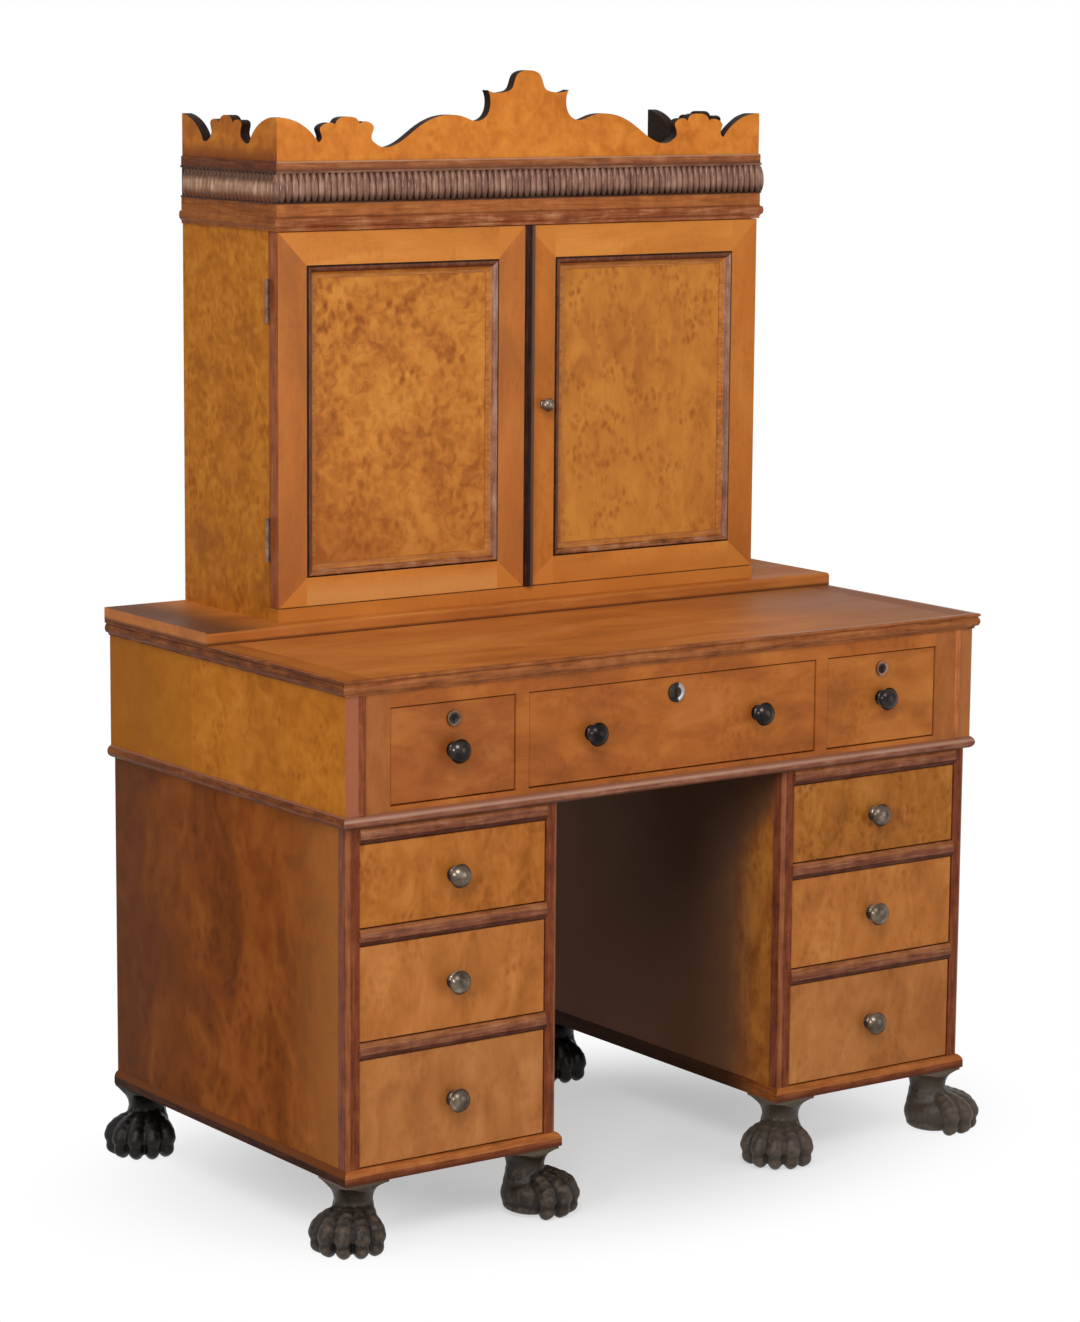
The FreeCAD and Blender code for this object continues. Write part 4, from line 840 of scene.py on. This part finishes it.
def keyhole_plate(place, wide, rim, right_half_finish):
    """A turned plate with a raised rim whose right half takes its own finish, a painted highlight on the
    centre plate, dished inside it, and a near-black keyhole, painted shade.
    """
    low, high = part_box(f"frieze_{place}_drawer_lock")
    middle = Vector(((low.x + high.x) / 2, low.y, keyhole_z))
    bpy.ops.mesh.primitive_cylinder_add(vertices=48, radius=wide / 2, depth=plate_depth, location=middle,
                                        rotation=(math.pi / 2, 0, 0))
    plate = bpy.context.object
    bpy.ops.object.transform_apply(location=True, rotation=True)
    select_faces(plate, lambda c, n: n.y < -0.9)
    bpy.ops.mesh.inset(thickness=wide * 0.13)
    bpy.ops.mesh.extrude_region_move(TRANSFORM_OT_translate={"value": (0, dish_depth, 0)})
    bpy.ops.transform.resize(value=(0.8, 1, 0.8))
    bpy.ops.object.mode_set(mode="OBJECT")
    shape(plate, "BEVEL", width=0.5 * MM, segments=2, limit_method="ANGLE")
    plate.name = f"{place}_keyhole_plate"
    for material in (rim, right_half_finish, dark_bronze):
        plate.data.materials.append(material)
    for face in plate.data.polygons:
        off = face.center - middle
        inside = math.hypot(off.x, off.z) < wide * 0.33
        face.material_index = 2 if inside else 1 if off.x > wide * 0.1 else 0
    finish_piece(plate, rim, f"frieze_{place}_drawer")
    # Painted shade: the keyhole is a short pocket in near black.
    bpy.ops.mesh.primitive_cylinder_add(vertices=24, radius=wide * 0.13, depth=1.2 * MM,
                                        location=middle + Vector((0, 0.1 * MM, wide * 0.06)),
                                        rotation=(math.pi / 2, 0, 0))
    hole = bpy.context.object
    bpy.ops.object.transform_apply(location=True, rotation=True)
    select_faces(hole, lambda c, n: n.z < -0.9)
    bpy.ops.mesh.extrude_region_move(TRANSFORM_OT_translate={"value": (0, 0, -wide * 0.2)})
    bpy.ops.object.mode_set(mode="OBJECT")
    hole.name = f"{place}_keyhole"
    finish_piece(hole, dark_edge_and_painted_shade, f"frieze_{place}_drawer")


# Dovetails of the drawers

pin_depth = 9 * MM           # thickness of the board behind the drawer's front
pin_pitch = 27 * MM
pin_stand = 0.15 * MM        # the pins stand proud of the side by this much
pin_share = 0.25             # height of a pin at the front of the joint, against the pitch
pin_flare = 1.8              # and how much taller it is at the back


def dovetails(drawer):
    """The pins whose end grain shows on both sides of a drawer, wider at the back of the joint."""
    low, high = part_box(f"{drawer}_box")
    count = round((high.z - low.z) / pin_pitch)
    pitch = (high.z - low.z) / count
    bpy.ops.mesh.primitive_cube_add(size=1, location=(low.x, low.y + pin_depth / 2, low.z + pitch / 2),
                                    scale=(2 * pin_stand, pin_depth, pitch * pin_share))
    pins = bpy.context.object
    bpy.ops.object.transform_apply(location=True, scale=True)
    select_faces(pins, lambda c, n: n.y > 0.9)
    bpy.ops.transform.resize(value=(1, 1, pin_flare))
    bpy.ops.object.mode_set(mode="OBJECT")
    shape(pins, "ARRAY", count=count, use_relative_offset=False, use_constant_offset=True,
          constant_offset_displace=(0, 0, pitch))
    other_side = copy_of(pins)
    other_side.location.x += high.x - low.x
    pins = join(f"{drawer}_dovetails", [pins, other_side])
    finish_piece(pins, end_oak, drawer)


# The pieces in their places

place_paws()
place_reeds()
# The centre plate's right half takes a painted highlight in bright steel.
for place, wide, rim, right_half_finish in (("left", 22 * MM, aged_brass, aged_brass),
                                 ("centre", 27 * MM, dark_bronze, steel_painted_highlight),
                                 ("right", 22 * MM, dull_copper, dull_copper)):
    keyhole_plate(place, wide, rim, right_half_finish)
    dovetails(f"frieze_{place}_drawer")
for side in ("left", "right"):
    for level in ("top", "middle", "bottom"):
        dovetails(f"{side}_{level}_drawer")


# Stage: floor, light and the photograph's view

frieze_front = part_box("frieze_face")[0].y + 3 * MM     # behind its corner beads
view_turn, view_tilt, view_roll = 35.576, 9.338, 0.466     # degrees
view_place = (-3.1988, -4.1504 + frieze_front, 1.6074)
view_lens = 105.86           # mm
stage_size = 60              # metres, for the floor and for how far the camera sees


def set_camera():
    """The camera solved from the desk's right angles in the photograph."""
    bpy.ops.object.camera_add()
    camera = bpy.context.object
    camera.data.lens = view_lens
    camera.data.clip_end = stage_size
    turn = (Matrix.Rotation(math.radians(-view_turn), 4, "Z")
            @ Matrix.Rotation(math.radians(90 - view_tilt), 4, "X")
            @ Matrix.Rotation(math.radians(view_roll), 4, "Z"))
    camera.matrix_world = Matrix.Translation(view_place) @ turn
    bpy.context.scene.camera = camera


def lamp(name, place, aim, size, power):
    """A square soft white lamp that looks at a point."""
    bpy.ops.object.light_add(type="AREA", location=place)
    light = bpy.context.object
    light.name = name
    light.data.size = size
    light.data.energy = power
    light.rotation_euler = (Vector(aim) - Vector(place)).to_track_quat("-Z", "Y").to_euler()


def lay_floor():
    """A pale floor that keeps the shadow and fades to white away from the desk."""
    bpy.ops.mesh.primitive_plane_add(size=stage_size, location=(0, 0, -0.5 * MM))
    floor = bpy.context.object
    floor.name = "studio_floor"
    material, tree, shader = new_finish("pale_floor", 0.9, specular=0.0)
    shader.inputs["Base Color"].default_value = linear("#E6E6E6")
    place = add(tree, "ShaderNodeTexCoord").outputs["Object"]
    plan = add(tree, "ShaderNodeMapping", {"Vector": place, "Scale": (1, 1.5, 1)}).outputs[0]
    far = add(tree, "ShaderNodeVectorMath", {0: plan}, operation="LENGTH").outputs["Value"]
    far = add(tree, "ShaderNodeMapRange", {0: far, 1: 0.3, 2: 0.84, 3: 0.45},
              interpolation_type="SMOOTHSTEP").outputs[0]
    seen = add(tree, "ShaderNodeLightPath")
    seen = add(tree, "ShaderNodeMath", {0: seen.outputs["Is Camera Ray"], 1: seen.outputs["Is Glossy Ray"]},
               operation="MAXIMUM").outputs[0]
    far = add(tree, "ShaderNodeMath", {0: far, 1: seen}, operation="MULTIPLY").outputs[0]
    white = add(tree, "ShaderNodeEmission", {"Color": (1, 1, 1, 1), "Strength": 1.0}).outputs[0]
    both = add(tree, "ShaderNodeMixShader", {0: far, 1: shader.outputs[0], 2: white}).outputs[0]
    tree.links.new(both, tree.nodes["Material Output"].inputs["Surface"])
    floor.data.materials.append(material)


def light_room():
    """A pale room: a big soft lamp high at the left, weaker ones at the left and front, light all round."""
    world = bpy.data.worlds.new("pale_room")
    bpy.context.scene.world = world
    world.use_nodes = True
    tree = world.node_tree
    seen = add(tree, "ShaderNodeLightPath")
    shown = add(tree, "ShaderNodeMath",
                {0: seen.outputs["Is Camera Ray"], 1: seen.outputs["Is Transmission Ray"]},
                operation="MAXIMUM").outputs[0]
    shown = add(tree, "ShaderNodeMath", {0: shown, 1: seen.outputs["Is Glossy Ray"]},
                operation="MAXIMUM").outputs[0]
    strength = add(tree, "ShaderNodeMapRange", {0: shown, 3: 0.4, 4: 1.0}).outputs[0]
    back = tree.nodes["Background"]
    back.inputs["Color"].default_value = (1, 1, 1, 1)
    tree.links.new(strength, back.inputs["Strength"])
    lamp("key_lamp", (-2.4, -3.2, 4.0), (0, 0, 0.8), 2.0, 118)
    lamp("side_lamp", (-4.2, -1.9, 1.7), (0, 0, 0.9), 0.8, 48)
    lamp("fill_lamp", (1.6, -4.2, 1.3), (0, 0, 0.7), 2.4, 34)


set_camera()
lay_floor()
light_room()
bpy.context.scene.view_settings.view_transform = "Standard"
